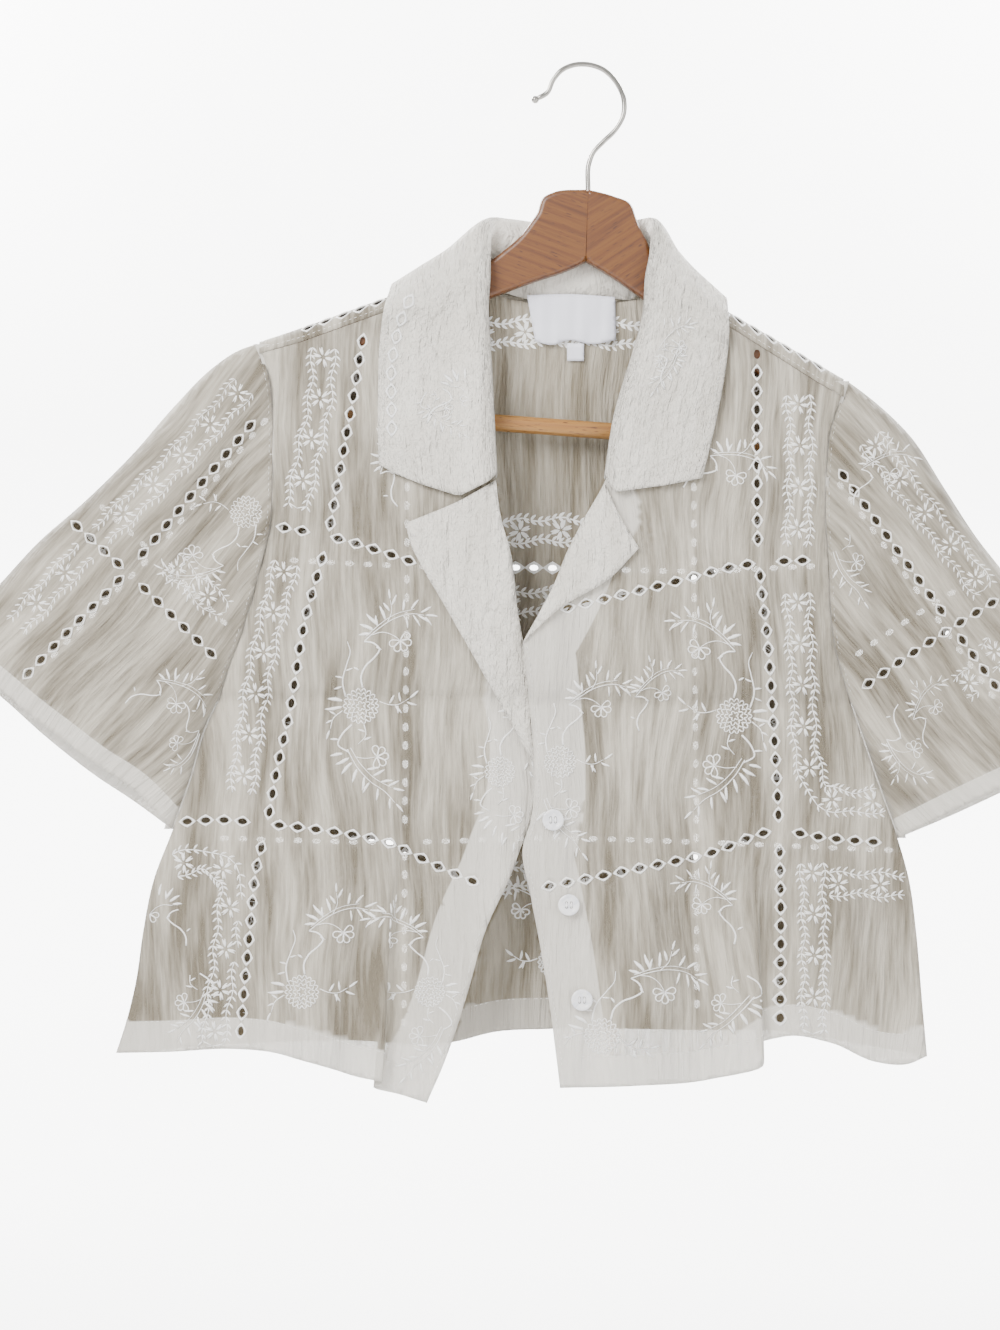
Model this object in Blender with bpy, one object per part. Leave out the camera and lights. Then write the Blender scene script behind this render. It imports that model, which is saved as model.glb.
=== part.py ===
"""Cropped blouse on a wooden hanger.

All tables are millimetres in the front view: x to the viewer's right, z up, both from
the point where the hook rests on its support.  y runs away from the viewer.  Cloth is
laid out flat in the front view (one closed outline per panel, in short named edges),
cut with its eyelets, meshed, and then placed in depth by one function per panel.
"""
import math

import bpy
import numpy as np
from mathutils.geometry import delaunay_2d_cdt

MM = 0.001
GAP = 0.35            # between neighbouring pieces
WALL = 1.0            # one layer of cloth
WALL_DOUBLE = 1.5     # collar and lapels, two layers
HEM_DEPTH = 20.0      # turned-up hem, two layers thick
HEM_WALL = 1.2
VIEW_FAR = 2000.0     # distance the front view was taken from
VIEW_X, VIEW_Z = -55.9, -388.7   # point the front view is centred on

EYE_LENGTH, EYE_WIDTH, EYE_PITCH = 6.2, 4.5, 12.0
EYE_KEEP = 7.0        # clear cloth round an eyelet centre at an edge

WOOD_THICK, WOOD_THICK_END, WOOD_ROUND = 12.4, 8.0, 3.5
BAR_DIAMETER = 11.0
WIRE_DIAMETER, WIRE_BALL = 3.4, 5.2
BUTTON_DIAMETER, BUTTON_THICK, BUTTON_HOLE = 14.0, 2.4, 1.8
BODY_DEPTH_X = (0, 60, 150, 300, 520)      # below the shoulder seam
FRONT_DEPTH = (0, 6, 13, 19, 24)
BACK_DEPTH = (0, 5, 10, 14, 18)
SLEEVE_DEPTH, SLEEVE_FLARE = 11.0, 0.04
SIDE_EDGE = 0.8       # half the distance between front and back at a side seam

# Top of the shoulders, from one sleeve to the other, and the round it is laid over.
RIDGE = ((-234.7, -189.2), (-223.6, -182.7), (-182.7, -169), (-128.7, -149.5), (-94.9, -135.2),
         (-70.2, -124.8), (-13.7, -119), (44.9, -120.9), (54.6, -130), (67.6, -141.7),
         (92.3, -159.2), (168.3, -203.5), (184.6, -216.5))
ROUND_AT = ((-224.9, 43.6), (-185.9, 43.6), (152.1, 43.6), (179.4, 43.6))
ROUND = (6.2, 8.4, 8.4, 6.2)
SEAM_BELOW_AT = ((-218.4, 43.6), (-127.4, 43.6), (96.9, 43.6), (168.3, 43.6))
SEAM_BELOW = (0.2, 0.2, 0.6, 4.0)          # front shoulder seam under the round

# Armhole and side seam from the shoulder down to the hem.
ARMHOLE_RIGHT = ((-213.8, -180.1), (-210, -187.8), (-205.4, -203.5), (-203.5, -224.2),
                 (-203.5, -262.6), (-204.8, -295.8), (-213.8, -334.1), (-224.2, -369.2),
                 (-234, -395.9), (-238.6, -411.4))
SIDE_RIGHT = ((-238.6, -411.4), (-247, -429.7), (-256.8, -463.4), (-268.4, -495.3),
              (-281.4, -529.8), (-287.9, -562.2), (-292.5, -594.1), (-299.7, -623.4),
              (-305.5, -640.9))
ARMHOLE_LEFT = ((169, -204.1), (165.1, -216.5), (158.6, -236), (156, -261.9), (155.3, -288.6),
                (157.3, -321.8), (160.6, -371.8), (171.6, -413.4))
SIDE_LEFT = ((171.6, -413.4), (181.3, -441.4), (191.1, -469.9), (202.2, -500.5), (210, -528.5),
             (214.5, -561), (218.4, -606.5), (221.7, -642.9))

# Edges of the front panels: name, points.
FRONT_RIGHT = {
    "neck": ((-75.4, -136.5), (-66.3, -151.5), (-63.7, -184), (-61.8, -223), (-58.5, -266.5),
             (-55.9, -289.9), (-48.8, -317.2), (-43.6, -359.4), (-39.6, -378.9), (-32.5, -411.4),
             (-29.2, -437.4), (-29.9, -460.2), (-35.1, -489.4), (-42.2, -507)),
    "front": ((-42.2, -507), (-49.4, -526.5), (-64.4, -559), (-78, -605.1), (-89.7, -640.9),
              (-103.4, -673.4)),
    "hem": ((-103.4, -673.4), (-120.9, -667.6), (-137.2, -661.1), (-159.2, -653.2),
            (-185.9, -645.5), (-202.2, -640.9), (-230.1, -638.3), (-270.4, -640.2),
            (-305.5, -640.9)),
}
FRONT_LEFT = {
    "neck": ((53.3, -145), (44.2, -155.3), (37.7, -164.5), (28.6, -189.8), (18.9, -223),
             (12.3, -269.1), (2, -287.9), (-11.1, -312.7), (-21.4, -337.4), (-41, -373.8)),
    "front": ((-41, -373.8), (-37.1, -411.4), (-33.8, -454.4), (-35.8, -489.4), (-41, -507),
              (-35.8, -539.5), (-28.6, -577.9), (-22.8, -616.2), (-16.9, -663.6)),
    "hem": ((-16.9, -663.6), (30.6, -662.4), (81.9, -657.8), (106.6, -650.6), (117, -635.7),
            (126.1, -631.1), (159.2, -634.4), (188.5, -646.8), (209.3, -648.1), (221.7, -642.9)),
}
BACK_HEM = ((-305.5, -640.9), (-230.1, -635.1), (-159.9, -632.5), (-86.5, -633.8),
            (-59.1, -627.2), (-22.8, -625.3), (74.1, -626), (126.1, -626.6), (178.1, -635.1),
            (221.7, -642.9))
BACK_NECK = ((53.3, -143.7), (38.4, -150.2), (22.1, -152.8), (-7.2, -154.1), (-36.4, -153.4),
             (-55.9, -148.8), (-75.4, -139.1))

# Sleeves: top fold, hems of the front and the back layer, underarm seam.
SLEEVE_RIGHT = {
    "top": ((-213.8, -180.1), (-227.5, -185.2), (-241.8, -195), (-267.8, -221), (-293.8, -250.9),
            (-328.9, -285.4), (-354.9, -308.1), (-380.9, -336.1), (-417.3, -375.1)),
    "hem": ((-417.3, -375.1), (-380.9, -404.9), (-362.1, -420.6), (-339.9, -437.4),
            (-321.1, -451.8), (-293.8, -469.9), (-269.1, -495.3)),
    "hem_back": ((-417.3, -375.1), (-400.4, -393.9), (-380.9, -408.9), (-351, -435.5),
                 (-318.5, -460.9), (-295.1, -476.4), (-269.1, -495.3)),
}
SLEEVE_LEFT = {
    "top": ((169, -204.1), (179.4, -211.2), (193.7, -223), (210, -239.2), (232.7, -273.7),
            (254.8, -307.4), (269.1, -325.7), (301.6, -369.9), (344.5, -431.6)),
    "hem": ((344.5, -431.6), (308.1, -451.1), (269.1, -468.7), (236.6, -484.2), (202.8, -501.2)),
    "hem_back": ((344.5, -431.6), (308.1, -453.7), (269.1, -471.9), (236.6, -486.9),
                 (202.8, -501.2)),
}

# Gentle upright folds: x and z at the top, x at the hem, z there, depth, half width.
FRONT_FOLDS = ((-94.9, -359.4, -185.9, -645.5, 5, 22), (-166.4, -320.4, -241.2, -639, -4, 20),
               (-52.6, -411.4, -75.4, -665, 4, 24), (35.1, -346.4, 35.1, -658.5, 6, 30),
               (67.6, -411.4, 77.4, -652, -5, 18), (139.1, -346.4, 171.6, -639, 5, 22),
               (-185.9, -203.5, -224.9, -476.4, 3, 18), (139.1, -229.5, 161.8, -450.4, 3, 16))
BACK_FOLDS = ((-185.9, -268.4, -237.9, -639, 6, 26), (-94.9, -229.5, -120.9, -632.5, -5, 28),
              (-13.7, -203.5, -16.9, -626, 6, 34), (67.6, -229.5, 100.1, -626, -5, 28),
              (132.6, -268.4, 171.6, -632.5, 6, 26))
# Turned folds: x and z at the top, x and z at the hem, overlap, step in depth, half width.
TURN_RIGHT = ((-119.6, -463.4, -135.2, -661.1, 17, 9, 8),)
TURN_LEFT = ((111.2, -509, 113.1, -645.5, 17, 9, 8),)

# Eyelet ladders, by panel.
LADDERS_FRONT_RIGHT = (
    ((-142.3, -160.6), (-153.4, -226.8), (-159.9, -262.6), (-167.7, -304.9), (-182.7, -360.1),
     (-193.1, -421.9), (-201.5, -459.6), (-207.3, -492.1), (-214.5, -522.6), (-218.4, -561),
     (-222.3, -600.6), (-224.9, -632.5)),
    ((-202.2, -298.4), (-167.7, -304.9), (-142.3, -312), (-114.4, -321.1)),
    ((-265.2, -490.8), (-237.9, -489.4), (-207.3, -492.1), (-172.9, -495.9), (-124.8, -505.7),
     (-94.2, -520.6), (-68.9, -531.1)),
)
LADDERS_FRONT_LEFT = (
    ((111.2, -180.7), (111.2, -245.7), (112.5, -322.4), (118.3, -375.7), (121.5, -421.2),
     (125.5, -496.6), (126.8, -547.3), (127.4, -624.6)),
    ((-17.6, -352.9), (41.6, -338.7), (112.5, -322.4), (148.8, -320.4)),
    ((-29.9, -533.6), (32.5, -521.3), (78.7, -511.6), (125.5, -496.6), (152.1, -500.5),
     (204.1, -505.1)),
)
LADDERS_SLEEVE_RIGHT = (
    ((-214.5, -228.8), (-257.4, -279.5), (-298.4, -328.2), (-335.4, -365.9), (-370.5, -402.4)),
    ((-335.4, -294.4), (-298.4, -328.2), (-252.9, -372.4), (-236.6, -388.1)),
)
LADDERS_SLEEVE_LEFT = (
    ((163.8, -260.7), (200.8, -312), (238.6, -364), (275.6, -415.4), (301.6, -450.4)),
    ((169, -411.4), (190.5, -395.9), (238.6, -364), (269.1, -345.2), (301.6, -324.4)),
)
LADDERS_BACK = (
    ((-116.4, -171), (-116.4, -320.4), (-117.7, -476.4), (-118.3, -626)),
    ((70.2, -171), (70.2, -320.4), (71.5, -476.4), (72.2, -619.5)),
)
EYELETS_BACK = 74     # the most the back is cut with

# Lapels: seam to the collar and outer edge; the roll edge is the panel's own.
LAPEL_RIGHT = {
    "roll": ((-29.9, -460.2), (-29.2, -437.4), (-32.5, -411.4), (-39.6, -378.9), (-43.6, -359.4),
             (-48.8, -317.2), (-55.9, -289.9), (-58.5, -268.4)),
    "seam": ((-58.5, -268.4), (-81.2, -281.4), (-117, -296.4)),
    "edge": ((-117, -296.4), (-115, -306.8), (-104.7, -328.2), (-93.6, -347.1), (-64.4, -398.4),
             (-29.9, -460.2)),
}
LAPEL_LEFT = {
    "roll": ((-41, -373.8), (-21.4, -337.4), (-11.1, -312.7), (2, -287.9), (12.3, -271.1)),
    "seam": ((12.3, -271.1), (23.4, -294.4), (34.5, -312.7)),
    "edge": ((34.5, -312.7), (15.6, -332.2), (-17.6, -352.3), (-41, -373.8)),
}
# Collar stations round the neck: neck seam, roll, middle of the leaf, outer edge.
# Each is x, z, y; a y of None lies on the front panel that the leaf covers.
COLLAR = (
    ((-58.5, -267.2, None), (-58.5, -264.6, None), (-85.8, -278.2, None), (-134.6, -258.1, None)),
    ((-59.8, -237.2, None), (-59.8, -236, None), (-97.5, -242.5, None), (-135.2, -242.5, None)),
    ((-61.8, -198.2, None), (-61.8, -197, None), (-98.2, -203.5, None), (-135.2, -208.7, None)),
    ((-65, -159.2, None), (-63.7, -158, None), (-100.1, -167.7, None), (-133.9, -176.2, None)),
    ((-65.7, -145, -13), (-63.7, -130.7, -16), (-97.5, -145, -16), (-131.3, -157.3, -14)),
    ((-67.6, -130.7, -9.5), (-63.1, -116.4, -11), (-95.5, -130.7, -9.5), (-128.7, -148.8, -9)),
    ((-68.2, -121.5, 0), (-61.8, -104.7, -3), (-93.6, -120.9, -1), (-123.5, -140.4, 2)),
    ((-66.3, -129.3, 9.5), (-57.9, -99.5, 4), (-84.5, -118.3, 10), (-113.8, -148.8, 13)),
    ((-58.5, -142.3, 11), (-49.4, -99.5, 10), (-65, -120.2, 18), (-94.9, -160.6, 20)),
    ((-37.7, -150.8, 9), (-32.5, -101.4, 15), (-40.3, -126.8, 23), (-52.6, -169.7, 25)),
    ((-10.4, -152.1, 9), (-10.4, -103.4, 17), (-9.1, -130.7, 25), (-7.2, -173.6, 27)),
    ((16.9, -150.8, 9), (14.3, -102.7, 15), (25.4, -132, 23), (40.3, -173.6, 25)),
    ((37.1, -143.7, 11), (35.1, -99.5, 9.5), (52, -124.2, 18), (71.5, -169.7, 20)),
    ((45.5, -128.1, 10.5), (40.3, -98.8, 5), (58.5, -120.2, 10), (83.2, -156.7, 13)),
    ((48.8, -121.5, 0), (42.9, -103.4, -3), (63.1, -124.2, -1), (89.7, -149.5, 2)),
    ((46.8, -132, -10.5), (42.9, -116.4, -11), (66.3, -135.8, -9.5), (92.3, -159.2, -9)),
    ((42.2, -146.2, -13), (40.3, -132, -16), (67.6, -150.2, -16), (93, -169.7, -14)),
    ((38.4, -161.8, None), (37.7, -158, None), (65, -174.8, None), (92.3, -184, None)),
    ((29.9, -191.8, None), (29.2, -190.5, None), (58.5, -202.2, None), (88.4, -210, None)),
    ((19.5, -224.2, None), (19.5, -223, None), (49.4, -234.7, None), (83.2, -236, None)),
    ((13, -268.4, None), (12.3, -265.9, None), (42.9, -274.3, None), (75.4, -267.2, None)),
)

# Hanger halves, clockwise from the top of the joint, and the wire and the bar.
WOOD_RIGHT = ((0.8, -80), (-21.4, -81.9), (-27.9, -85.2), (-31.9, -95.5), (-35.1, -100.1),
              (-44.2, -111.8), (-52.6, -119), (-63.1, -126.8), (-75.4, -131.3), (-94.9, -138.5),
              (-128.7, -152.8), (-182.7, -172.9), (-202.2, -181.3), (-213.2, -191.8),
              (-220.3, -208.7), (-217.1, -223), (-208.1, -228.2), (-206.7, -210),
              (-185.9, -199.6), (-120.9, -174.2), (-65, -151.5), (-39, -141.7), (-3.9, -128.7),
              (-0.5, -126.8))
WOOD_LEFT = ((1.4, -80), (18.2, -84.5), (29.2, -89.7), (31.9, -96.9), (35.1, -105.3),
             (39, -112.5), (44.9, -127.4), (53.3, -138.5), (67.6, -149.5), (92.3, -163.8),
             (157.3, -205.4), (169, -218.4), (178.1, -233.3), (181.3, -243.8), (179.4, -254.2),
             (169, -255.1), (170.3, -236.6), (139.1, -217.8), (74.1, -176.2), (35.8, -150.2),
             (18.2, -137.8), (0.1, -126.8))
BAR = ((-207, -220.2), (169.1, -248.2))
WIRE = ((-32.2, -20.8), (-25.4, -16.9), (-21.4, -8.5), (-15.6, -2), (-7.8, 1.3), (0, 1.7),
        (10.4, -1.3), (19.5, -9.8), (24.4, -20.2), (24.4, -30.6), (18.9, -41), (10.4, -49.4),
        (4.5, -55.9), (2, -62.4), (1.3, -80.3))
BUTTONS = ((-21.4, -489.4), (-11.1, -544.7), (-2.6, -606.5))
LABEL = ((-38.4, -148.2), (-9.8, -147.6), (18.9, -149.5), (19.5, -177.5), (2.6, -180.1),
         (-10.4, -177.5), (-23.4, -180.7), (-33.1, -178.1))
SIZE_TAG = ((-12.3, -179.7), (-1.3, -179.7), (-1.3, -191.1), (-12.3, -191.1))
CARE_LABEL = ((169, -541.5), (193.7, -536.9), (197.6, -568.1), (172.9, -573.3))

# Colours: name, red, green, blue (linear), roughness, metallic.
FINISH = {
    "sheer_cloth": (0.62, 0.59, 0.53, 0.8, 0.0),
    "double_cloth": (0.80, 0.78, 0.73, 0.75, 0.0),
    "wood": (0.47, 0.20, 0.085, 0.45, 0.0),
    "bar_wood": (0.58, 0.32, 0.14, 0.5, 0.0),
    "chrome": (0.62, 0.62, 0.62, 0.2, 1.0),
    "shell": (0.80, 0.80, 0.82, 0.3, 0.0),
    "ribbon": (0.74, 0.74, 0.80, 0.6, 0.0),
}


def smoothed(points, step):
    """Points about `step` apart on a smooth curve through the given ones."""
    pts = np.asarray(points, float)
    cum = np.r_[0, np.cumsum(np.linalg.norm(np.diff(pts, axis=0), axis=1))]
    slope = np.gradient(pts, cum, axis=0)
    at = np.linspace(0, cum[-1], max(2, round(cum[-1] / step) + 1))
    k = np.clip(np.searchsorted(cum, at, side="right") - 1, 0, len(pts) - 2)
    h = (cum[k + 1] - cum[k])[:, None]
    u = (at - cum[k])[:, None] / h
    return ((1 + 2 * u) * (1 - u) ** 2 * pts[k] + u * (1 - u) ** 2 * h * slope[k]
            + u * u * (3 - 2 * u) * pts[k + 1] + u * u * (u - 1) * h * slope[k + 1])


def distance(points, line):
    """Distance from each point to an open line."""
    a, b = line[:-1], line[1:]
    p = points[:, None, :]
    run = b - a
    u = np.clip(((p - a) * run).sum(2) / (run * run).sum(1), 0, 1)
    return np.linalg.norm(p - a - u[..., None] * run, axis=2).min(1)


def inside(points, ring):
    """True for points inside a closed ring, by counting crossings."""
    x, z = points[:, 0:1], points[:, 1:2]
    x0, z0 = ring[:, 0], ring[:, 1]
    x1, z1 = np.roll(x0, -1), np.roll(z0, -1)
    span = (z0 > z) != (z1 > z)
    cross = x0 + (z - z0) * (x1 - x0) / np.where(z1 == z0, 1, z1 - z0)
    return (span & (x < cross)).sum(1) % 2 == 1


def ease(u):
    u = np.clip(u, 0, 1)
    return u * u * (3 - 2 * u)


def by_x(x, table, values=None):
    table = np.asarray(table, float)
    return np.interp(x, table[:, 0], table[:, 1] if values is None else values)


def by_z(z, line):
    line = np.asarray(line, float)[::-1]
    return np.interp(z, line[:, 1], line[:, 0])


def ridge(x):
    return by_x(x, RIDGE)


def shoulder_round(x):
    return by_x(x, ROUND_AT, ROUND)


def seam_z(x):
    """Height of the front shoulder seam."""
    return ridge(x) - shoulder_round(x) - by_x(x, SEAM_BELOW_AT, SEAM_BELOW)


OUTER = {"right": np.vstack([smoothed(ARMHOLE_RIGHT, 14), smoothed(SIDE_RIGHT, 20)[1:]]),
         "left": np.vstack([smoothed(ARMHOLE_LEFT, 14), smoothed(SIDE_LEFT, 20)[1:]])}
SLEEVES = {"right": (SLEEVE_RIGHT, ARMHOLE_RIGHT, SIDE_RIGHT),
           "left": (SLEEVE_LEFT, ARMHOLE_LEFT, SIDE_LEFT)}


def underarm(side):
    """The sleeve's lower edge: it hangs just outside the body's side seam."""
    sleeve, armhole, seam = SLEEVES[side]
    away = -1 if side == "right" else 1
    line = smoothed(seam, 12)
    end = sleeve["hem"][-1][1]
    line = line[line[:, 1] > end + 4] + (away * 1.2, 0)
    return np.vstack([[armhole[-1]], line[1:], [sleeve["hem"][-1]]])


def sleeve_half(points, side):
    """Half depth of a sleeve: an oval section between its top fold and its underarm."""
    sleeve, armhole, _ = SLEEVES[side]
    top = distance(points, smoothed(sleeve["top"], 12))
    low = distance(points, underarm(side))
    t = top / np.maximum(top + low, 1e-6)
    out = distance(points, smoothed(armhole, 12))
    depth = SLEEVE_DEPTH + SLEEVE_FLARE * out
    return 0.62 + depth * np.maximum(1 - np.abs(2 * t - 1) ** 2.6, 0) ** 0.6


def half_at_armhole(side):
    """Half depth along the armhole by height, level above the arm of the hanger."""
    line = smoothed(SLEEVES[side][1], 8)[4:]
    half = np.maximum(sleeve_half(line, side), SIDE_EDGE)
    return np.r_[-999, line[::-1, 1]], np.r_[SIDE_EDGE, half[::-1]]


HALF_AT_EDGE = {"right": half_at_armhole("right"), "left": half_at_armhole("left")}


def across(x, z):
    """Share of the way in from the side seams, 0 at either and 1 between, and the edge."""
    right, left = by_z(z, OUTER["right"]), by_z(z, OUTER["left"])
    u = np.clip((x - right) / (left - right), 0, 1)
    edge = np.where(u < 0.5, np.interp(z, *HALF_AT_EDGE["right"]),
                    np.interp(z, *HALF_AT_EDGE["left"]))
    return 1 - np.abs(2 * u - 1) ** 3, edge


def folds(x, z, rows):
    """Depth of the upright folds, each growing from its top to the hem."""
    total = np.zeros_like(x)
    for x_top, z_top, x_hem, z_hem, depth, half in rows:
        run = (z_top - z) / (z_top - z_hem)
        at = x_top + (x_hem - x_top) * run
        total += depth * ease(run) * np.exp(-((x - at) / half) ** 2)
    return total


def body_half(x, z, depths):
    """Distance of the front or the back from the middle plane, without folds."""
    below = seam_z(x) - z
    near = np.exp(-(np.maximum(below, 0) / 45) ** 2)
    share, edge = across(x, z)
    return (near * shoulder_round(x)
            + (1 - near) * (edge + np.interp(below, BODY_DEPTH_X, depths) * share))


def front_depth(x, z):
    share, _ = across(x, z)
    return -body_half(x, z, FRONT_DEPTH) - folds(x, z, FRONT_FOLDS) * share


def turned(x, z, row):
    """Sideways shift and step in depth of a fold that turns back on itself."""
    x_top, z_top, x_hem, z_hem, overlap, step, half = row
    run = (z_top - z) / (z_top - z_hem)
    grow = ease(run)
    u = (x - x_top - (x_hem - x_top) * run) / half
    return (-overlap * grow * u * np.exp(-u * u),
            step * grow * ease((u + 1) / 2) * np.exp(-(np.maximum(u, 0) * half / 70) ** 2))


def place_front_right(x, z):
    shift, step = turned(x, z, TURN_RIGHT[0])
    return x + shift, front_depth(x, z) + step * across(x, z)[0], z


# Heights between which the left front's edge lies over the right one.
TOP_OF_OVERLAP, END_OF_OVERLAP = -320.4, -567.5


def place_front_left(x, z):
    shift, step = turned(x, z, TURN_LEFT[0])
    edge = by_z(z, FRONT_LEFT["front"])
    over = 7 * np.exp(-(np.maximum(x - edge, 0) / 34) ** 2)
    over *= ease((TOP_OF_OVERLAP - z) / 35) * ease((z - END_OF_OVERLAP) / 60)
    return x + shift, front_depth(x, z) + step * across(x, z)[0] - over, z


def place_back(x, z):
    """The back, whose top edge is carried over the shoulder to the front seam."""
    r = shoulder_round(x)
    top = ridge(x)
    v = top - z + (math.pi / 2 - 1) * r
    quarter = math.pi / 2 * r
    turn = np.clip(v / r, -math.pi / 2, math.pi / 2)
    past = np.where(v > quarter, v - quarter, np.where(v < -quarter, -quarter - v, 0))
    seen = top - r * (1 - np.cos(turn)) - past
    share, _ = across(x, seen)
    flat = body_half(x, seen, BACK_DEPTH) + folds(x, seen, BACK_FOLDS) * share
    hold = np.exp(-(past / 30) ** 2)
    return x, np.where(v > quarter, hold * r + (1 - hold) * flat, r * np.sin(turn)), seen


def place_sleeve(side, sign):
    def place(x, z):
        half = sleeve_half(np.column_stack([x, z]), side)
        return x, sign * half, z
    return place


def lapel_on(place, roll):
    """A lapel lying on its panel, closest at the roll and lifted a little beyond it."""
    def lay(x, z):
        px, py, pz = place(x, z)
        off = distance(np.column_stack([x, z]), smoothed(roll, 12))
        return px, py - 1.65 - 2.2 * ease(off / 9) + 1.2 * ease((off - 20) / 40), pz
    return lay


def seen_from(x, y, z):
    """Front-view position at depth y, with the view's own drawing together."""
    k = 1 + y / VIEW_FAR
    return VIEW_X + (x - VIEW_X) * k, y, VIEW_Z + (z - VIEW_Z) * k


def material(name):
    mat = bpy.data.materials.get(name)
    if mat is None:
        red, green, blue, rough, metal = FINISH[name]
        mat = bpy.data.materials.new(name)
        mat.use_nodes = True
        bsdf = mat.node_tree.nodes["Principled BSDF"]
        bsdf.inputs["Base Color"].default_value = (red, green, blue, 1)
        bsdf.inputs["Roughness"].default_value = rough
        bsdf.inputs["Metallic"].default_value = metal
    return mat


def add_mesh(name, verts, faces, finish):
    """A closed mesh with its faces turned outward, judged by the volume they enclose."""
    corner = np.asarray(verts, float)
    volume = sum(np.dot(corner[f[0]], np.cross(corner[f[i]], corner[f[i + 1]]))
                 for f in faces for i in range(1, len(f) - 1))
    if volume < 0:
        faces = [f[::-1] for f in faces]
    mesh = bpy.data.meshes.new(name)
    mesh.from_pydata((np.asarray(verts) * MM).tolist(), [], faces)
    mesh.validate()
    obj = bpy.data.objects.new(name, mesh)
    bpy.context.collection.objects.link(obj)
    mesh.materials.append(material(finish))
    return obj


def eyelets(ladder, ring, others, limit=None):
    """Pointed ovals at an even pitch along a ladder, none at a crossing or near an edge."""
    line = smoothed(ladder, 2)
    cum = np.r_[0, np.cumsum(np.linalg.norm(np.diff(line, axis=0), axis=1))]
    at = np.arange(EYE_PITCH / 2, cum[-1], EYE_PITCH)
    centres = np.column_stack([np.interp(at, cum, line[:, k]) for k in (0, 1)])
    ahead = np.column_stack([np.interp(at + 1, cum, line[:, k]) for k in (0, 1)])
    keep = inside(centres, ring) & (distance(centres, np.vstack([ring, ring[:1]])) > EYE_KEEP)
    for other in others:
        keep &= distance(centres, other) > EYE_PITCH * 0.45
    found = []
    for c, a in zip(centres[keep][:limit], ahead[keep][:limit]):
        t = (a - c) / max(np.linalg.norm(a - c), 1e-6)
        n = np.array((-t[1], t[0]))
        found.append([c + t * EYE_LENGTH * i + n * EYE_WIDTH * j
                      for i, j in ((.5, 0), (.19, .5), (-.19, .5), (-.5, 0), (-.19, -.5),
                                   (.19, -.5))])
    return found


def sheet(name, edges, place, finish, wall=WALL, ladders=(), rows=(), grid=(19, 42),
          limit=None, hem=None, hem_wall=HEM_WALL):
    """One panel: outline and eyelets meshed flat, then placed, with a wall round them."""
    ring = np.vstack([np.asarray(e, float)[:-1] for e in edges])
    cuts = []
    for i, ladder in enumerate(ladders):
        cuts += eyelets(ladder, ring, [smoothed(o, 4) for o in ladders[:i]]
                        + ([] if i else [smoothed(o, 4) for o in ladders[1:]]), limit)
    low, high = ring.min(0), ring.max(0)
    points = [(x + (j % 2) * grid[0] / 2, z)
              for j, z in enumerate(np.arange(low[1] + 10, high[1], grid[1]))
              for x in np.arange(low[0] + 4, high[0], grid[0])]
    regular = len(points)
    points = np.array(points + [tuple(p) for row in rows for p in row])
    closed = np.vstack([ring, ring[:1]])
    keep = inside(points, ring) & (distance(points, closed) > np.where(
        np.arange(len(points)) < regular, 5, 2))
    for row in rows:
        keep[:regular] &= distance(points[:regular], row) > 5
    for cut in cuts:
        keep &= np.linalg.norm(points - np.mean(cut, axis=0), axis=1) > 6.5
    loops = [ring] + [np.array(c) for c in cuts]
    flat = np.vstack(loops + [points[keep]])
    bounds, start = [], 0
    for loop in loops:
        n = len(loop)
        bounds += [(start + i, start + (i + 1) % n) for i in range(n)]
        start += n
    number = np.cumsum(keep) - 1 + start
    first = regular
    for row in rows:
        bounds += [(int(number[i]), int(number[i + 1]))
                   for i in range(first, first + len(row) - 1) if keep[i] and keep[i + 1]]
        first += len(row)
    scale = np.array((1, grid[0] / grid[1]))
    out = delaunay_2d_cdt((flat * scale).tolist(), bounds, [], 0, 1e-4)
    flat = np.array([tuple(v) for v in out[0]]) / scale
    tris = np.array([f for f in out[2] if len(f) == 3])
    middle = flat[tris].mean(1)
    good = inside(middle, ring)
    for cut in cuts:
        near = np.linalg.norm(middle - np.mean(cut, axis=0), axis=1) < EYE_LENGTH
        good[near] &= ~inside(middle[near], np.array(cut))
    tris = tris[good]
    return walled(name, flat, tris, place, finish, wall, hem, hem_wall)


def walled(name, flat, tris, place, finish, wall, hem=None, hem_wall=HEM_WALL):
    """Both faces of a placed sheet and the rim that joins them."""
    used = np.unique(tris)
    index = np.full(len(flat), -1)
    index[used] = np.arange(len(used))
    flat, tris = flat[used], index[tris]

    def at(dx, dz):
        return np.column_stack(seen_from(*place(flat[:, 0] + dx, flat[:, 1] + dz)))

    mid = at(0, 0)
    normal = np.cross(at(0.6, 0) - at(-0.6, 0), at(0, 0.6) - at(0, -0.6))
    normal /= np.maximum(np.linalg.norm(normal, axis=1), 1e-9)[:, None]
    half = np.full(len(flat), wall / 2)
    if hem is not None:
        half = np.where(distance(flat, smoothed(hem, 12)) < HEM_DEPTH + 1, hem_wall / 2, half)
    n = len(flat)
    verts = np.vstack([mid - normal * half[:, None], mid + normal * half[:, None]])
    a, b, c = flat[tris[:, 0]], flat[tris[:, 1]], flat[tris[:, 2]]
    turn = (b[:, 0] - a[:, 0]) * (c[:, 1] - a[:, 1]) - (b[:, 1] - a[:, 1]) * (c[:, 0] - a[:, 0])
    tris = np.where(turn[:, None] < 0, tris[:, ::-1], tris)
    faces = [tuple(t[::-1]) for t in tris.tolist()]
    faces += [tuple(i + n for i in t) for t in tris.tolist()]
    owner = {}
    for t in tris.tolist():
        for i in range(3):
            owner[(t[i], t[(i + 1) % 3])] = True
    for i, j in list(owner):
        if (j, i) not in owner:
            faces += [(i, j, j + n), (i, j + n, i + n)]
    return add_mesh(name, verts, faces, finish)


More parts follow.
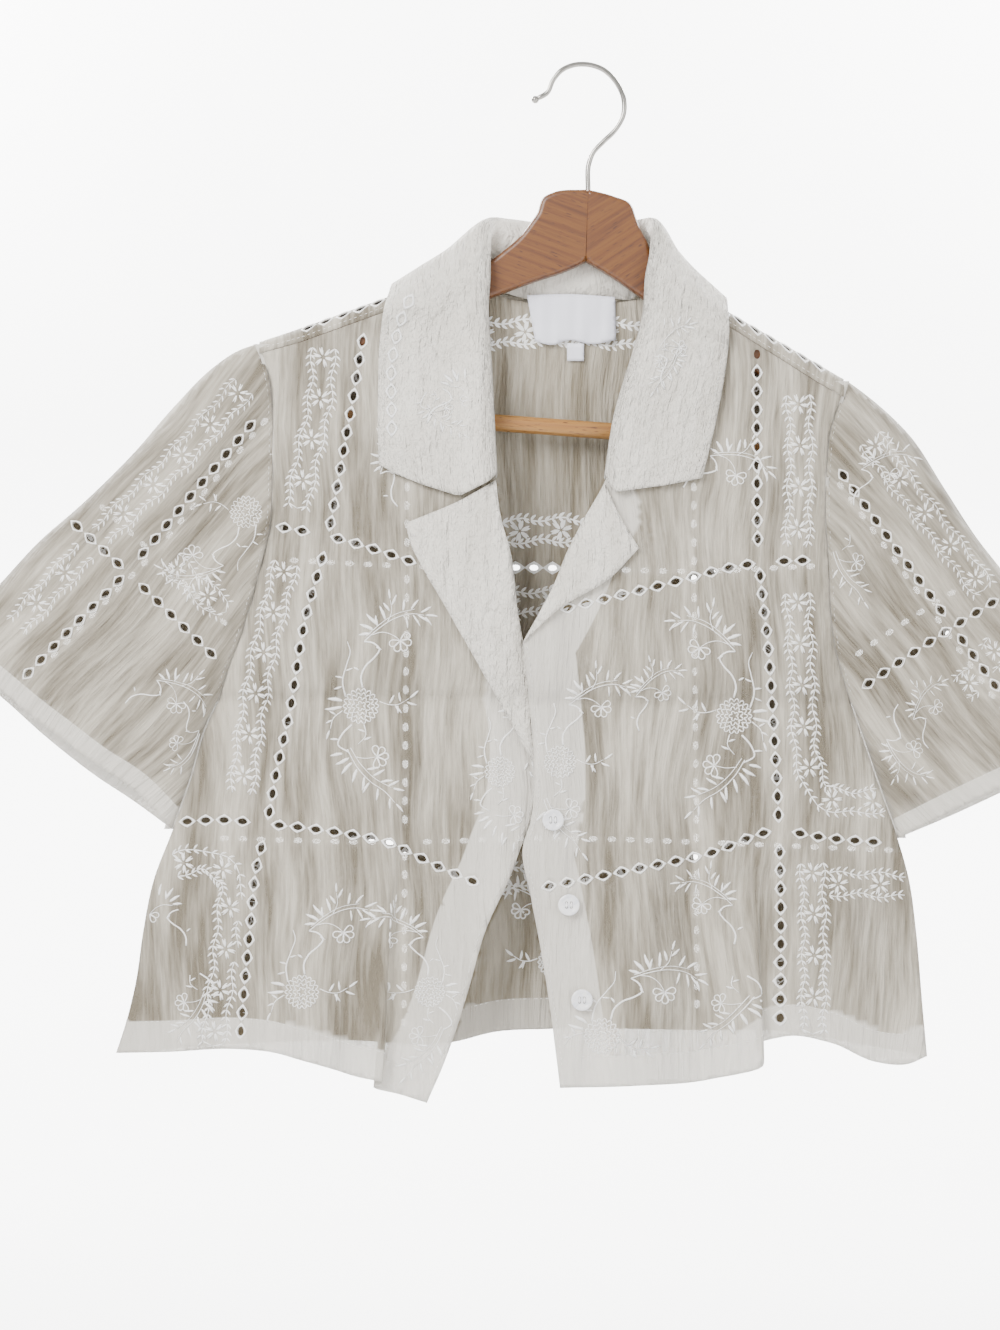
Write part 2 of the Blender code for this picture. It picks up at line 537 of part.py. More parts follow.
def beside(line, away):
    """The same line moved sideways by the gap between pieces."""
    line = np.asarray(line, float)
    run = np.gradient(line, axis=0)
    run /= np.linalg.norm(run, axis=1)[:, None]
    return line + np.column_stack([-run[:, 1], run[:, 0]]) * away


def shoulder(side, front):
    """Seam between the shoulder strip and a front panel, outer end first."""
    neck = FRONT_RIGHT["neck"][0] if side == "right" else FRONT_LEFT["neck"][0]
    away = 1.5 if side == "right" else -1.5
    x = np.linspace(SLEEVES[side][1][0][0] + away, neck[0], 10)
    if front:
        return np.column_stack([x, seam_z(x) - GAP])
    extra = by_x(x, SEAM_BELOW_AT, SEAM_BELOW)
    return np.column_stack([x, ridge(x) + (math.pi - 1) * shoulder_round(x) + extra])


TURNS = np.array((-1.25, -0.85, -0.4, 0, 0.4, 0.85, 1.25))


def strip_z(x, turn):
    """Laid-out height of the line at this turn (radians) over the shoulder round."""
    return ridge(x) + (math.pi / 2 - 1 - turn) * shoulder_round(x)


def armhole_line(side):
    return smoothed(SLEEVES[side][1], 14)


def side_line(side):
    return smoothed(SLEEVES[side][2], 20)


ACROSS_FOLD = np.array((-2.1, -1.4, -0.9, -0.45, 0, 0.45, 0.9, 1.4, 2.1))


def fold_rows(row):
    """Rows of points across a turned fold, so that it stays round."""
    x_top, z_top, x_hem, z_hem, _, _, half = row
    run = np.linspace(0.25, 0.97, 9)
    return [np.column_stack([x_top + (x_hem - x_top) * run + u * half,
                             z_top + (z_hem - z_top) * run]) for u in ACROSS_FOLD]


def folded_hem(hem, row):
    """A hem line with points where the turned fold's rows reach it."""
    line = smoothed(hem, 15)
    x = row[2] + ACROSS_FOLD * row[6]
    added = np.column_stack([x, by_x(x, line[np.argsort(line[:, 0])])])
    far = np.abs(line[:, None, 0] - x).min(1) > 3
    line = np.vstack([line[far], added])
    order = np.argsort(line[:, 0])
    return line[order if hem[0][0] < hem[-1][0] else order[::-1]]


def hem_rows(hem):
    line = smoothed(hem, 18)[1:-1]
    return [line + (0, HEM_DEPTH), line + (0, HEM_DEPTH + 3)]


def build_front(side):
    table, place, turn, ladders = {
        "right": (FRONT_RIGHT, place_front_right, TURN_RIGHT[0], LADDERS_FRONT_RIGHT),
        "left": (FRONT_LEFT, place_front_left, TURN_LEFT[0], LADDERS_FRONT_LEFT)}[side]
    top = shoulder(side, True)
    neck = np.vstack([[top[-1]], table["neck"][1:]])
    edges = [top, smoothed(neck, 15), smoothed(table["front"], 22),
             folded_hem(table["hem"], turn), side_line(side)[::-1],
             np.vstack([armhole_line(side)[:0:-1], [top[0]]])]
    sheet("front_" + side, edges, place, "sheer_cloth", ladders=ladders,
          rows=fold_rows(turn) + hem_rows(table["hem"]), hem=table["hem"])


def build_back():
    edges, rows = [], []
    for side, end in (("right", BACK_NECK[-1]), ("left", BACK_NECK[0])):
        strip = shoulder(side, False)
        x0 = np.full(len(TURNS), strip[0][0])
        over = np.column_stack([x0, strip_z(x0, TURNS)])
        x1 = np.full(len(TURNS), strip[-1][0])
        inner = np.column_stack([x1, strip_z(x1, TURNS)])
        edges.append([np.vstack([[strip[0]], over, armhole_line(side)[1:]]),
                      side_line(side), strip, np.vstack([[strip[-1]], inner, [end]])])
        x = np.linspace(strip[0][0], end[0], 10)[1:-1]
        rows += [np.column_stack([x, strip_z(x, turn)]) for turn in (*TURNS, 1.7, 2.5)]
    arm_right, side_right, strip_right, neck_right = edges[0]
    arm_left, side_left, strip_left, neck_left = edges[1]
    sheet("back", [arm_right, side_right, smoothed(BACK_HEM, 18), side_left[::-1],
                   arm_left[::-1], strip_left, neck_left, smoothed(BACK_NECK, 14),
                   neck_right[::-1], strip_right[::-1]],
          place_back, "sheer_cloth", ladders=LADDERS_BACK, rows=rows + hem_rows(BACK_HEM),
          hem=BACK_HEM, limit=EYELETS_BACK // 2)


def build_sleeve(side, layer):
    table = SLEEVES[side][0]
    away = -1 if side == "right" else 1
    hem = smoothed(table["hem"] if layer == "front" else table["hem_back"], 16)
    seam = armhole_line(side) + (away * 2 * GAP, 0)
    low = underarm(side)
    low = np.vstack([[seam[-1]], low[1:]])
    top = smoothed(np.vstack([[seam[0]], table["top"][1:]]), 16)
    ladders = LADDERS_SLEEVE_RIGHT if side == "right" else LADDERS_SLEEVE_LEFT
    sheet("sleeve_%s_%s" % (side, layer), [top, hem, low[::-1], seam[::-1]],
          place_sleeve(side, -1 if layer == "front" else 1), "sheer_cloth",
          ladders=ladders if layer == "front" else (), grid=(24, 24),
          rows=[beside(top, -away * d)[1:-1] for d in (-2.5, -7)], hem=hem, hem_wall=WALL)


def build_lapel(side):
    table, place = {"right": (LAPEL_RIGHT, place_front_right),
                    "left": (LAPEL_LEFT, place_front_left)}[side]
    sheet("lapel_" + side, [smoothed(table[k], 14) for k in ("roll", "seam", "edge")],
          lapel_on(place, table["roll"]), "double_cloth", wall=1.3, grid=(14, 24))


def collar_point(station, column):
    """Depth of a collar point: its own, or resting on the front panel under it."""
    x, z, y = COLLAR[station][column]
    if y is None:
        y = float(front_depth(np.array([x], float), np.array([z], float))[0])
        y -= (1.9, 5.5, 5.0, 3.0)[column]
        if station in (0, len(COLLAR) - 1):
            y += (0, 1.0, 1.5, 0)[column]
    return x, y, z


def build_collar():
    """The collar: stations round the neck, four points across each, joined smoothly."""
    table = np.array([[collar_point(s, c) for c in range(4)] for s in range(len(COLLAR))])
    cum = np.r_[0, np.cumsum(np.linalg.norm(np.diff(table[:, 1], axis=0), axis=1))]
    at = np.unique(np.r_[np.linspace(0, cum[-1], 34), cum])
    keep = np.r_[True, np.diff(at) > 4]
    columns = [np.column_stack([np.interp(at[keep], cum, table[:, c, k]) for k in range(3)])
               for c in range(4)]
    lines = clear_of_body(np.stack([smoothed_across(np.array(p)) for p in zip(*columns)]))
    rows, cols = lines.shape[:2]
    flat = np.stack(np.meshgrid(np.arange(rows), np.arange(cols), indexing="ij"), -1)
    flat = flat.reshape(-1, 2).astype(float)
    tris = []
    for i in range(rows - 1):
        for j in range(cols - 1):
            a, b = i * cols + j, (i + 1) * cols + j
            tris += [(a, b, b + 1), (a, b + 1, a + 1)]

    def place(u, v):
        return bilinear(lines, u, v)

    walled("collar", flat, np.array(tris), place, "double_cloth", WALL_DOUBLE)


def clear_of_body(lines):
    """Keep the collar outside the panels that it lies on."""
    x, y, z = lines[..., 0], lines[..., 1], lines[..., 2]
    under = z < ridge(x) - 6
    front = np.minimum(y, front_depth(x, z) - 1.9)
    back = np.maximum(y, body_half(x, z, BACK_DEPTH) + 1.9)
    lines[..., 1] = np.where(under & (y < -6), front, np.where(under & (y > 9), back, y))
    return lines


def smoothed_across(points):
    """A line across the collar, turning over in a soft round at the roll."""
    cum = np.r_[0, np.cumsum(np.linalg.norm(np.diff(points, axis=0), axis=1))]
    slope = np.gradient(points, cum, axis=0)
    turn = (points[1] - points[0]) / cum[1] + (points[2] - points[1]) / (cum[2] - cum[1])
    slope[1] = turn / max(np.linalg.norm(turn), 0.3)
    at = np.r_[0, cum[1] * 0.5, cum[1] + np.array((0, 3, 7, 13)),
               cum[1] + (cum[-1] - cum[1]) * np.array((0.45, 0.62, 0.8, 1))]
    k = np.clip(np.searchsorted(cum, at, side="right") - 1, 0, len(points) - 2)
    h = (cum[k + 1] - cum[k])[:, None]
    u = (at - cum[k])[:, None] / h
    return ((1 + 2 * u) * (1 - u) ** 2 * points[k] + u * (1 - u) ** 2 * h * slope[k]
            + u * u * (3 - 2 * u) * points[k + 1] + u * u * (u - 1) * h * slope[k + 1])


def bilinear(lines, u, v):
    """Points of a grid of lines at fractional rows and columns, run on past its ends."""
    i = np.clip(np.floor(u).astype(int), 0, lines.shape[0] - 2)
    j = np.clip(np.floor(v).astype(int), 0, lines.shape[1] - 2)
    a, b = (u - i)[:, None], (v - j)[:, None]
    p = ((1 - a) * (1 - b) * lines[i, j] + a * (1 - b) * lines[i + 1, j]
         + (1 - a) * b * lines[i, j + 1] + a * b * lines[i + 1, j + 1])
    return p[:, 0], p[:, 1], p[:, 2]


def prism(name, outline, thick, finish, bevel=0.0, taper=None):
    """A flat outline in the front view given a thickness along y, edges rounded."""
    pts = np.asarray(outline, float)
    half = np.full(len(pts), thick / 2) if taper is None else taper(pts[:, 0]) / 2
    n = len(pts)
    verts = [(x, -h, z) for (x, z), h in zip(pts, half)]
    verts += [(x, h, z) for (x, z), h in zip(pts, half)]
    area = np.sum(pts[:, 0] * np.roll(pts[:, 1], -1) - np.roll(pts[:, 0], -1) * pts[:, 1])
    order = list(range(n)) if area > 0 else list(range(n))[::-1]
    faces = [tuple(order), tuple(i + n for i in order[::-1])]
    faces += [(order[k - 1], order[k - 1] + n, order[k] + n, order[k]) for k in range(n)]
    obj = add_mesh(name, verts, faces, finish)
    if bevel:
        mod = obj.modifiers.new("round", "BEVEL")
        mod.width = bevel * MM
        mod.segments = 2
        mod.limit_method = "ANGLE"
        mod.angle_limit = math.radians(60)
    return obj


def tube(name, path, radius, finish, sides=8):
    """A round bar along a path in the front view; radius may vary by station."""
    path = np.asarray(path, float)
    radius = np.broadcast_to(radius, len(path))
    run = np.gradient(path, axis=0)
    run /= np.linalg.norm(run, axis=1)[:, None]
    side = np.cross(run, (0, 1, 0))
    side /= np.linalg.norm(side, axis=1)[:, None]
    up = np.cross(side, run)
    ang = 2 * math.pi * np.arange(sides) / sides
    verts = (path[:, None] + radius[:, None, None] * (
        np.cos(ang)[None, :, None] * side[:, None] + np.sin(ang)[None, :, None] * up[:, None]))
    faces = [tuple(range(sides))[::-1],
             tuple((len(path) - 1) * sides + k for k in range(sides))]
    for i in range(len(path) - 1):
        for k in range(sides):
            a, b = i * sides + k, i * sides + (k + 1) % sides
            faces.append((a, b, b + sides, a + sides))
    return add_mesh(name, verts.reshape(-1, 3), faces, finish)


def wood_thickness(x):
    return by_x(x, ((-217.1, 43.6), (-166.4, 43.6), (132.6, 43.6), (182, 43.6)),
                (WOOD_THICK_END, WOOD_THICK, WOOD_THICK, WOOD_THICK_END))


def build_hanger():
    for side, outline in (("right", WOOD_RIGHT), ("left", WOOD_LEFT)):
        prism("hanger_arm_" + side, outline, WOOD_THICK, "wood", WOOD_ROUND, wood_thickness)
    (x0, z0), (x1, z1) = BAR
    tube("hanger_bar", [(x0, 0, z0), (x1, 0, z1)], BAR_DIAMETER / 2, "bar_wood", 16)
    line = smoothed(WIRE, 5)
    path = np.column_stack([line[:, 0], np.zeros(len(line)), line[:, 1]])
    tip = path[0] - path[1]
    tip /= np.linalg.norm(tip)
    ball = [path[0] + tip * d for d in (3.2, 2.4, 0.6, -0.9)]
    radius = np.r_[0.9, 2.1, WIRE_BALL / 2, 2.1, np.full(len(path) - 1, WIRE_DIAMETER / 2)]
    tube("hanger_hook", np.vstack([ball, path[1:]]), radius, "chrome", 8)


def build_buttons():
    """Four-hole buttons sewn flat on the left front."""
    for number, (x, z) in enumerate(BUTTONS, 1):
        ang = 2 * math.pi * np.arange(20) / 20
        ring = np.column_stack([np.cos(ang), np.sin(ang)]) * BUTTON_DIAMETER / 2
        face = place_front_left(x + ring[:, 0], z + ring[:, 1])[1].min() - WALL / 2 - GAP
        holes = [np.array([(sx * 1.7 + math.cos(a) * BUTTON_HOLE / 2,
                            sz * 1.7 + math.sin(a) * BUTTON_HOLE / 2)
                           for a in 2 * math.pi * np.arange(6) / 6])
                 for sx in (-1, 1) for sz in (-1, 1)]
        loops = [ring] + holes
        flat = np.vstack(loops)
        bounds, start = [], 0
        for loop in loops:
            n = len(loop)
            bounds += [(start + i, start + (i + 1) % n) for i in range(n)]
            start += n
        out = delaunay_2d_cdt(flat.tolist(), bounds, [], 0, 1e-5)
        pts = np.array([tuple(v) for v in out[0]])
        tris = np.array([f for f in out[2]])
        mid = pts[tris].mean(1)
        good = np.ones(len(tris), bool)
        for hole in holes:
            good &= ~inside(mid, hole)

        def place(u, v, x=x, y=face - BUTTON_THICK / 2, z=z):
            return u + x, np.full_like(u, y), v + z

        walled("button_%d" % number, pts, tris[good], place, "shell", BUTTON_THICK)


def build_labels():
    def on_back(off):
        def place(x, z):
            px, py, pz = place_back(x, z)
            return px, py - off, pz
        return place

    def care(x, z):
        px, py, pz = place_front_left(x, z)
        return px, py + WALL + 2 * GAP, pz

    sheet("neck_label", [LABEL[:3], LABEL[2:4], LABEL[3:8], [LABEL[7], LABEL[0]]],
          on_back(1.6), "ribbon", grid=(14, 14))
    for name, outline, place in (("size_tag", SIZE_TAG, on_back(1.6)),
                                 ("care_label", CARE_LABEL, care)):
        sheet(name, [[outline[i], outline[(i + 1) % 4]] for i in range(4)], place,
              "ribbon", grid=(99, 99))


def main():
    for obj in list(bpy.data.objects):
        bpy.data.objects.remove(obj, do_unlink=True)
    build_hanger()
    build_back()
    for side in ("right", "left"):
        build_front(side)
        build_lapel(side)
        for layer in ("front", "back"):
            build_sleeve(side, layer)
    build_collar()
    build_buttons()
    build_labels()


main()
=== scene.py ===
"""Looks of the cropped blouse on its wooden hanger: sheer embroidered cloth, beech, steel.

Tables are millimetres in the front view, as the solids have them: x to the viewer's right,
z up, both from the point where the hook rests.  y runs away from the viewer.
"""
import math

import bpy
import numpy as np
from bpy.props import FloatProperty, FloatVectorProperty, PointerProperty
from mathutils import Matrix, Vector
from mathutils.geometry import delaunay_2d_cdt


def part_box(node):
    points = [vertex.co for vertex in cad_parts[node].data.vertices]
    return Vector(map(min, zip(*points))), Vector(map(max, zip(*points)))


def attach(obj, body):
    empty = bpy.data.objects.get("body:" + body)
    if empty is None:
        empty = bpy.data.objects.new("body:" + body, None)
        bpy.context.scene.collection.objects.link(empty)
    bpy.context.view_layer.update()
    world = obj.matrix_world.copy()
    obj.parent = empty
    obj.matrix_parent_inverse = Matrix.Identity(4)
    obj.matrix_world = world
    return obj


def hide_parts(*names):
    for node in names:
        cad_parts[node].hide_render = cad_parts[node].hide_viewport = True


bl_info = {
    "name": "Cropped blouse",
    "version": (1, 0, 0),
    "blender": (4, 5, 0),
    "location": "View3D > Sidebar > Blouse",
    "description": "Builds a sheer embroidered blouse on a wooden hanger",
    "category": "Add Mesh",
}

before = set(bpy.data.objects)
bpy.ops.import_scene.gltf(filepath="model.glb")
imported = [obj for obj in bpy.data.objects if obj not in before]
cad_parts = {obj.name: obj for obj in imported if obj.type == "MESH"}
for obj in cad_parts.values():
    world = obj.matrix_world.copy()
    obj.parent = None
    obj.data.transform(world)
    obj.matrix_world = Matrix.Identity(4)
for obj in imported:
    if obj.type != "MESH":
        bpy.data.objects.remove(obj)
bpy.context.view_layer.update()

MM = 0.001
GAP = 0.35            # between neighbouring pieces
HEM_DEPTH = 20.0      # turned-up hem, two layers
SLEEVE_HEM = 12.0
FACING = 33.0         # second layer behind the front edges
BORDER = (0.0, 0.8)   # two rows of points that keep the edge of a second layer sharp
SIDE_EDGE = 0.8
VIEW_FAR = 2000.0     # distance the front view was taken from
VIEW_X, VIEW_Z = -55.9, -388.7
PIXEL = 0.65          # millimetres in the front view for each of its 1330 rows
BODY_DEPTH_X = (0, 60, 150, 300, 520)      # below the shoulder seam
FRONT_DEPTH = (0, 6, 13, 19, 24)
BACK_DEPTH = (0, 5, 10, 14, 18)
SLEEVE_DEPTH, SLEEVE_FLARE = 11.0, 0.04
AWAY = {"right": -1, "left": 1}            # outward along x on either side
SINGLE, DOUBLE, RIBBON = 0.4, 0.9, 0.35    # thickness of the shown sheets
CLEAR_OF_EDGE = 4.6   # from an eyelet's centre to the edge of its piece
ROOM_ROUND_HOLE = 0.62   # of an eyelet's length, without other points of the mesh

# Top of the shoulders, from one sleeve to the other, and the round it is laid over.
RIDGE = ((-234.7, -189.2), (-223.6, -182.7), (-182.7, -169), (-128.7, -149.5), (-94.9, -135.2),
         (-70.2, -124.8), (-13.7, -119), (44.9, -120.9), (54.6, -130), (67.6, -141.7),
         (92.3, -159.2), (168.3, -203.5), (184.6, -216.5))
ROUND_AT = ((-224.9, 43.6), (-185.9, 43.6), (152.1, 43.6), (179.4, 43.6))
ROUND = (6.2, 8.4, 8.4, 6.2)
SEAM_BELOW_AT = ((-218.4, 43.6), (-127.4, 43.6), (96.9, 43.6), (168.3, 43.6))
SEAM_BELOW = (0.2, 0.2, 0.6, 4.0)          # front shoulder seam under the round

# Armhole and side seam from the shoulder down to the hem.
ARMHOLE_RIGHT = ((-213.8, -180.1), (-210, -187.8), (-205.4, -203.5), (-203.5, -224.2),
                 (-203.5, -262.6), (-204.8, -295.8), (-213.8, -334.1), (-224.2, -369.2),
                 (-234, -395.9), (-238.6, -411.4))
SIDE_RIGHT = ((-238.6, -411.4), (-247, -429.7), (-256.8, -463.4), (-268.4, -495.3),
              (-281.4, -529.8), (-287.9, -562.2), (-292.5, -594.1), (-299.7, -623.4),
              (-305.5, -640.9))
ARMHOLE_LEFT = ((169, -204.1), (165.1, -216.5), (158.6, -236), (156, -261.9), (155.3, -288.6),
                (157.3, -321.8), (160.6, -371.8), (171.6, -413.4))
SIDE_LEFT = ((171.6, -413.4), (181.3, -441.4), (191.1, -469.9), (202.2, -500.5), (210, -528.5),
             (214.5, -561), (218.4, -606.5), (221.7, -642.9))

# Edges of the front panels: name, points.
FRONT_RIGHT = {
    "neck": ((-75.4, -136.5), (-66.3, -151.5), (-63.7, -184), (-61.8, -223), (-58.5, -266.5),
             (-55.9, -289.9), (-48.8, -317.2), (-43.6, -359.4), (-39.6, -378.9), (-32.5, -411.4),
             (-29.2, -437.4), (-29.9, -460.2), (-35.1, -489.4), (-42.2, -507)),
    "front": ((-42.2, -507), (-49.4, -526.5), (-64.4, -559), (-78, -605.1), (-89.7, -640.9),
              (-103.4, -673.4)),
    "hem": ((-103.4, -673.4), (-120.9, -667.6), (-137.2, -661.1), (-159.2, -653.2),
            (-185.9, -645.5), (-202.2, -640.9), (-230.1, -638.3), (-270.4, -640.2),
            (-305.5, -640.9)),
}
FRONT_LEFT = {
    "neck": ((53.3, -145), (44.2, -155.3), (37.7, -164.5), (28.6, -189.8), (18.9, -223),
             (12.3, -269.1), (2, -287.9), (-11.1, -312.7), (-21.4, -337.4), (-41, -373.8)),
    "front": ((-41, -373.8), (-37.1, -411.4), (-33.8, -454.4), (-35.8, -489.4), (-41, -507),
              (-35.8, -539.5), (-28.6, -577.9), (-22.8, -616.2), (-16.9, -663.6)),
    "hem": ((-16.9, -663.6), (30.6, -662.4), (81.9, -657.8), (106.6, -650.6), (117, -635.7),
            (126.1, -631.1), (159.2, -634.4), (188.5, -646.8), (209.3, -648.1), (221.7, -642.9)),
}
BACK_HEM = ((-305.5, -640.9), (-230.1, -635.1), (-159.9, -632.5), (-86.5, -633.8),
            (-59.1, -627.2), (-22.8, -625.3), (74.1, -626), (126.1, -626.6), (178.1, -635.1),
            (221.7, -642.9))
BACK_NECK = ((53.3, -143.7), (38.4, -150.2), (22.1, -152.8), (-7.2, -154.1), (-36.4, -153.4),
             (-55.9, -148.8), (-75.4, -139.1))

# Sleeves: top fold, hems of the front and the back layer, underarm seam.
SLEEVE_RIGHT = {
    "top": ((-213.8, -180.1), (-227.5, -185.2), (-241.8, -195), (-267.8, -221), (-293.8, -250.9),
            (-328.9, -285.4), (-354.9, -308.1), (-380.9, -336.1), (-417.3, -375.1)),
    "hem": ((-417.3, -375.1), (-380.9, -404.9), (-362.1, -420.6), (-339.9, -437.4),
            (-321.1, -451.8), (-293.8, -469.9), (-269.1, -495.3)),
    "hem_back": ((-417.3, -375.1), (-400.4, -393.9), (-380.9, -408.9), (-351, -435.5),
                 (-318.5, -460.9), (-295.1, -476.4), (-269.1, -495.3)),
}
SLEEVE_LEFT = {
    "top": ((169, -204.1), (179.4, -211.2), (193.7, -223), (210, -239.2), (232.7, -273.7),
            (254.8, -307.4), (269.1, -325.7), (301.6, -369.9), (344.5, -431.6)),
    "hem": ((344.5, -431.6), (308.1, -451.1), (269.1, -468.7), (236.6, -484.2), (202.8, -501.2)),
    "hem_back": ((344.5, -431.6), (308.1, -453.7), (269.1, -471.9), (236.6, -486.9),
                 (202.8, -501.2)),
}

# Gentle upright folds: x and z at the top, x at the hem, z there, depth, half width.
FRONT_FOLDS = ((-94.9, -359.4, -185.9, -645.5, 5, 22), (-166.4, -320.4, -241.2, -639, -4, 20),
               (-52.6, -411.4, -75.4, -665, 4, 24), (35.1, -346.4, 35.1, -658.5, 6, 30),
               (67.6, -411.4, 77.4, -652, -5, 18), (139.1, -346.4, 171.6, -639, 5, 22),
               (-185.9, -203.5, -224.9, -476.4, 3, 18), (139.1, -229.5, 161.8, -450.4, 3, 16))
BACK_FOLDS = ((-185.9, -268.4, -237.9, -639, 6, 26), (-94.9, -229.5, -120.9, -632.5, -5, 28),
              (-13.7, -203.5, -16.9, -626, 6, 34), (67.6, -229.5, 100.1, -626, -5, 28),
              (132.6, -268.4, 171.6, -632.5, 6, 26))
# Turned folds: x and z at the top, x and z at the hem, overlap, step in depth, half width.
TURN_RIGHT = ((-119.6, -463.4, -135.2, -661.1, 17, 9, 8),)
TURN_LEFT = ((111.2, -509, 113.1, -645.5, 17, 9, 8),)

# Eyelet ladders, by panel.
LADDERS_FRONT_RIGHT = (
    ((-142.3, -160.6), (-153.4, -226.8), (-159.9, -262.6), (-167.7, -304.9), (-182.7, -360.1),
     (-193.1, -421.9), (-201.5, -459.6), (-207.3, -492.1), (-214.5, -522.6), (-218.4, -561),
     (-222.3, -600.6), (-224.9, -632.5)),
    ((-202.2, -298.4), (-167.7, -304.9), (-142.3, -312), (-114.4, -321.1)),
    ((-265.2, -490.8), (-237.9, -489.4), (-207.3, -492.1), (-172.9, -495.9), (-124.8, -505.7),
     (-94.2, -520.6), (-68.9, -531.1)),
)
LADDERS_FRONT_LEFT = (
    ((111.2, -180.7), (111.2, -245.7), (112.5, -322.4), (118.3, -375.7), (121.5, -421.2),
     (125.5, -496.6), (126.8, -547.3), (127.4, -624.6)),
    ((-17.6, -352.9), (41.6, -338.7), (112.5, -322.4), (148.8, -320.4)),
    ((-29.9, -533.6), (32.5, -521.3), (78.7, -511.6), (125.5, -496.6), (152.1, -500.5),
     (204.1, -505.1)),
)
LADDERS_SLEEVE_RIGHT = (
    ((-214.5, -228.8), (-257.4, -279.5), (-298.4, -328.2), (-335.4, -365.9), (-370.5, -402.4)),
    ((-335.4, -294.4), (-298.4, -328.2), (-252.9, -372.4), (-236.6, -388.1)),
)
LADDERS_SLEEVE_LEFT = (
    ((163.8, -260.7), (200.8, -312), (238.6, -364), (275.6, -415.4), (301.6, -450.4)),
    ((169, -411.4), (190.5, -395.9), (238.6, -364), (269.1, -345.2), (301.6, -324.4)),
)

# Lapels: seam to the collar and outer edge; the roll edge is the panel's own.
LAPEL_RIGHT = {
    "roll": ((-29.9, -460.2), (-29.2, -437.4), (-32.5, -411.4), (-39.6, -378.9), (-43.6, -359.4),
             (-48.8, -317.2), (-55.9, -289.9), (-58.5, -268.4)),
    "seam": ((-58.5, -268.4), (-81.2, -281.4), (-117, -296.4)),
    "edge": ((-117, -296.4), (-115, -306.8), (-104.7, -328.2), (-93.6, -347.1), (-64.4, -398.4),
             (-29.9, -460.2)),
}
LAPEL_LEFT = {
    "roll": ((-41, -373.8), (-21.4, -337.4), (-11.1, -312.7), (2, -287.9), (12.3, -271.1)),
    "seam": ((12.3, -271.1), (23.4, -294.4), (34.5, -312.7)),
    "edge": ((34.5, -312.7), (15.6, -332.2), (-17.6, -352.3), (-41, -373.8)),
}
# Collar stations round the neck: neck seam, roll, middle of the leaf, outer edge.
# Each is x, z, y; a y of None lies on the front panel that the leaf covers.
COLLAR = (
    ((-58.5, -267.2, None), (-58.5, -264.6, None), (-85.8, -278.2, None), (-134.6, -258.1, None)),
    ((-59.8, -237.2, None), (-59.8, -236, None), (-97.5, -242.5, None), (-135.2, -242.5, None)),
    ((-61.8, -198.2, None), (-61.8, -197, None), (-98.2, -203.5, None), (-135.2, -208.7, None)),
    ((-65, -159.2, None), (-63.7, -158, None), (-100.1, -167.7, None), (-133.9, -176.2, None)),
    ((-65.7, -145, -13), (-63.7, -130.7, -16), (-97.5, -145, -16), (-131.3, -157.3, -14)),
    ((-67.6, -130.7, -9.5), (-63.1, -116.4, -11), (-95.5, -130.7, -9.5), (-128.7, -148.8, -9)),
    ((-68.2, -121.5, 0), (-61.8, -104.7, -3), (-93.6, -120.9, -1), (-123.5, -140.4, 2)),
    ((-66.3, -129.3, 9.5), (-57.9, -99.5, 4), (-84.5, -118.3, 10), (-113.8, -148.8, 13)),
    ((-58.5, -142.3, 11), (-49.4, -99.5, 10), (-65, -120.2, 18), (-94.9, -160.6, 20)),
    ((-37.7, -150.8, 9), (-32.5, -101.4, 15), (-40.3, -126.8, 23), (-52.6, -169.7, 25)),
    ((-10.4, -152.1, 9), (-10.4, -103.4, 17), (-9.1, -130.7, 25), (-7.2, -173.6, 27)),
    ((16.9, -150.8, 9), (14.3, -102.7, 15), (25.4, -132, 23), (40.3, -173.6, 25)),
    ((37.1, -143.7, 11), (35.1, -99.5, 9.5), (52, -124.2, 18), (71.5, -169.7, 20)),
    ((45.5, -128.1, 10.5), (40.3, -98.8, 5), (58.5, -120.2, 10), (83.2, -156.7, 13)),
    ((48.8, -121.5, 0), (42.9, -103.4, -3), (63.1, -124.2, -1), (89.7, -149.5, 2)),
    ((46.8, -132, -10.5), (42.9, -116.4, -11), (66.3, -135.8, -9.5), (92.3, -159.2, -9)),
    ((42.2, -146.2, -13), (40.3, -132, -16), (67.6, -150.2, -16), (93, -169.7, -14)),
    ((38.4, -161.8, None), (37.7, -158, None), (65, -174.8, None), (92.3, -184, None)),
    ((29.9, -191.8, None), (29.2, -190.5, None), (58.5, -202.2, None), (88.4, -210, None)),
    ((19.5, -224.2, None), (19.5, -223, None), (49.4, -234.7, None), (83.2, -236, None)),
    ((13, -268.4, None), (12.3, -265.9, None), (42.9, -274.3, None), (75.4, -267.2, None)),
)

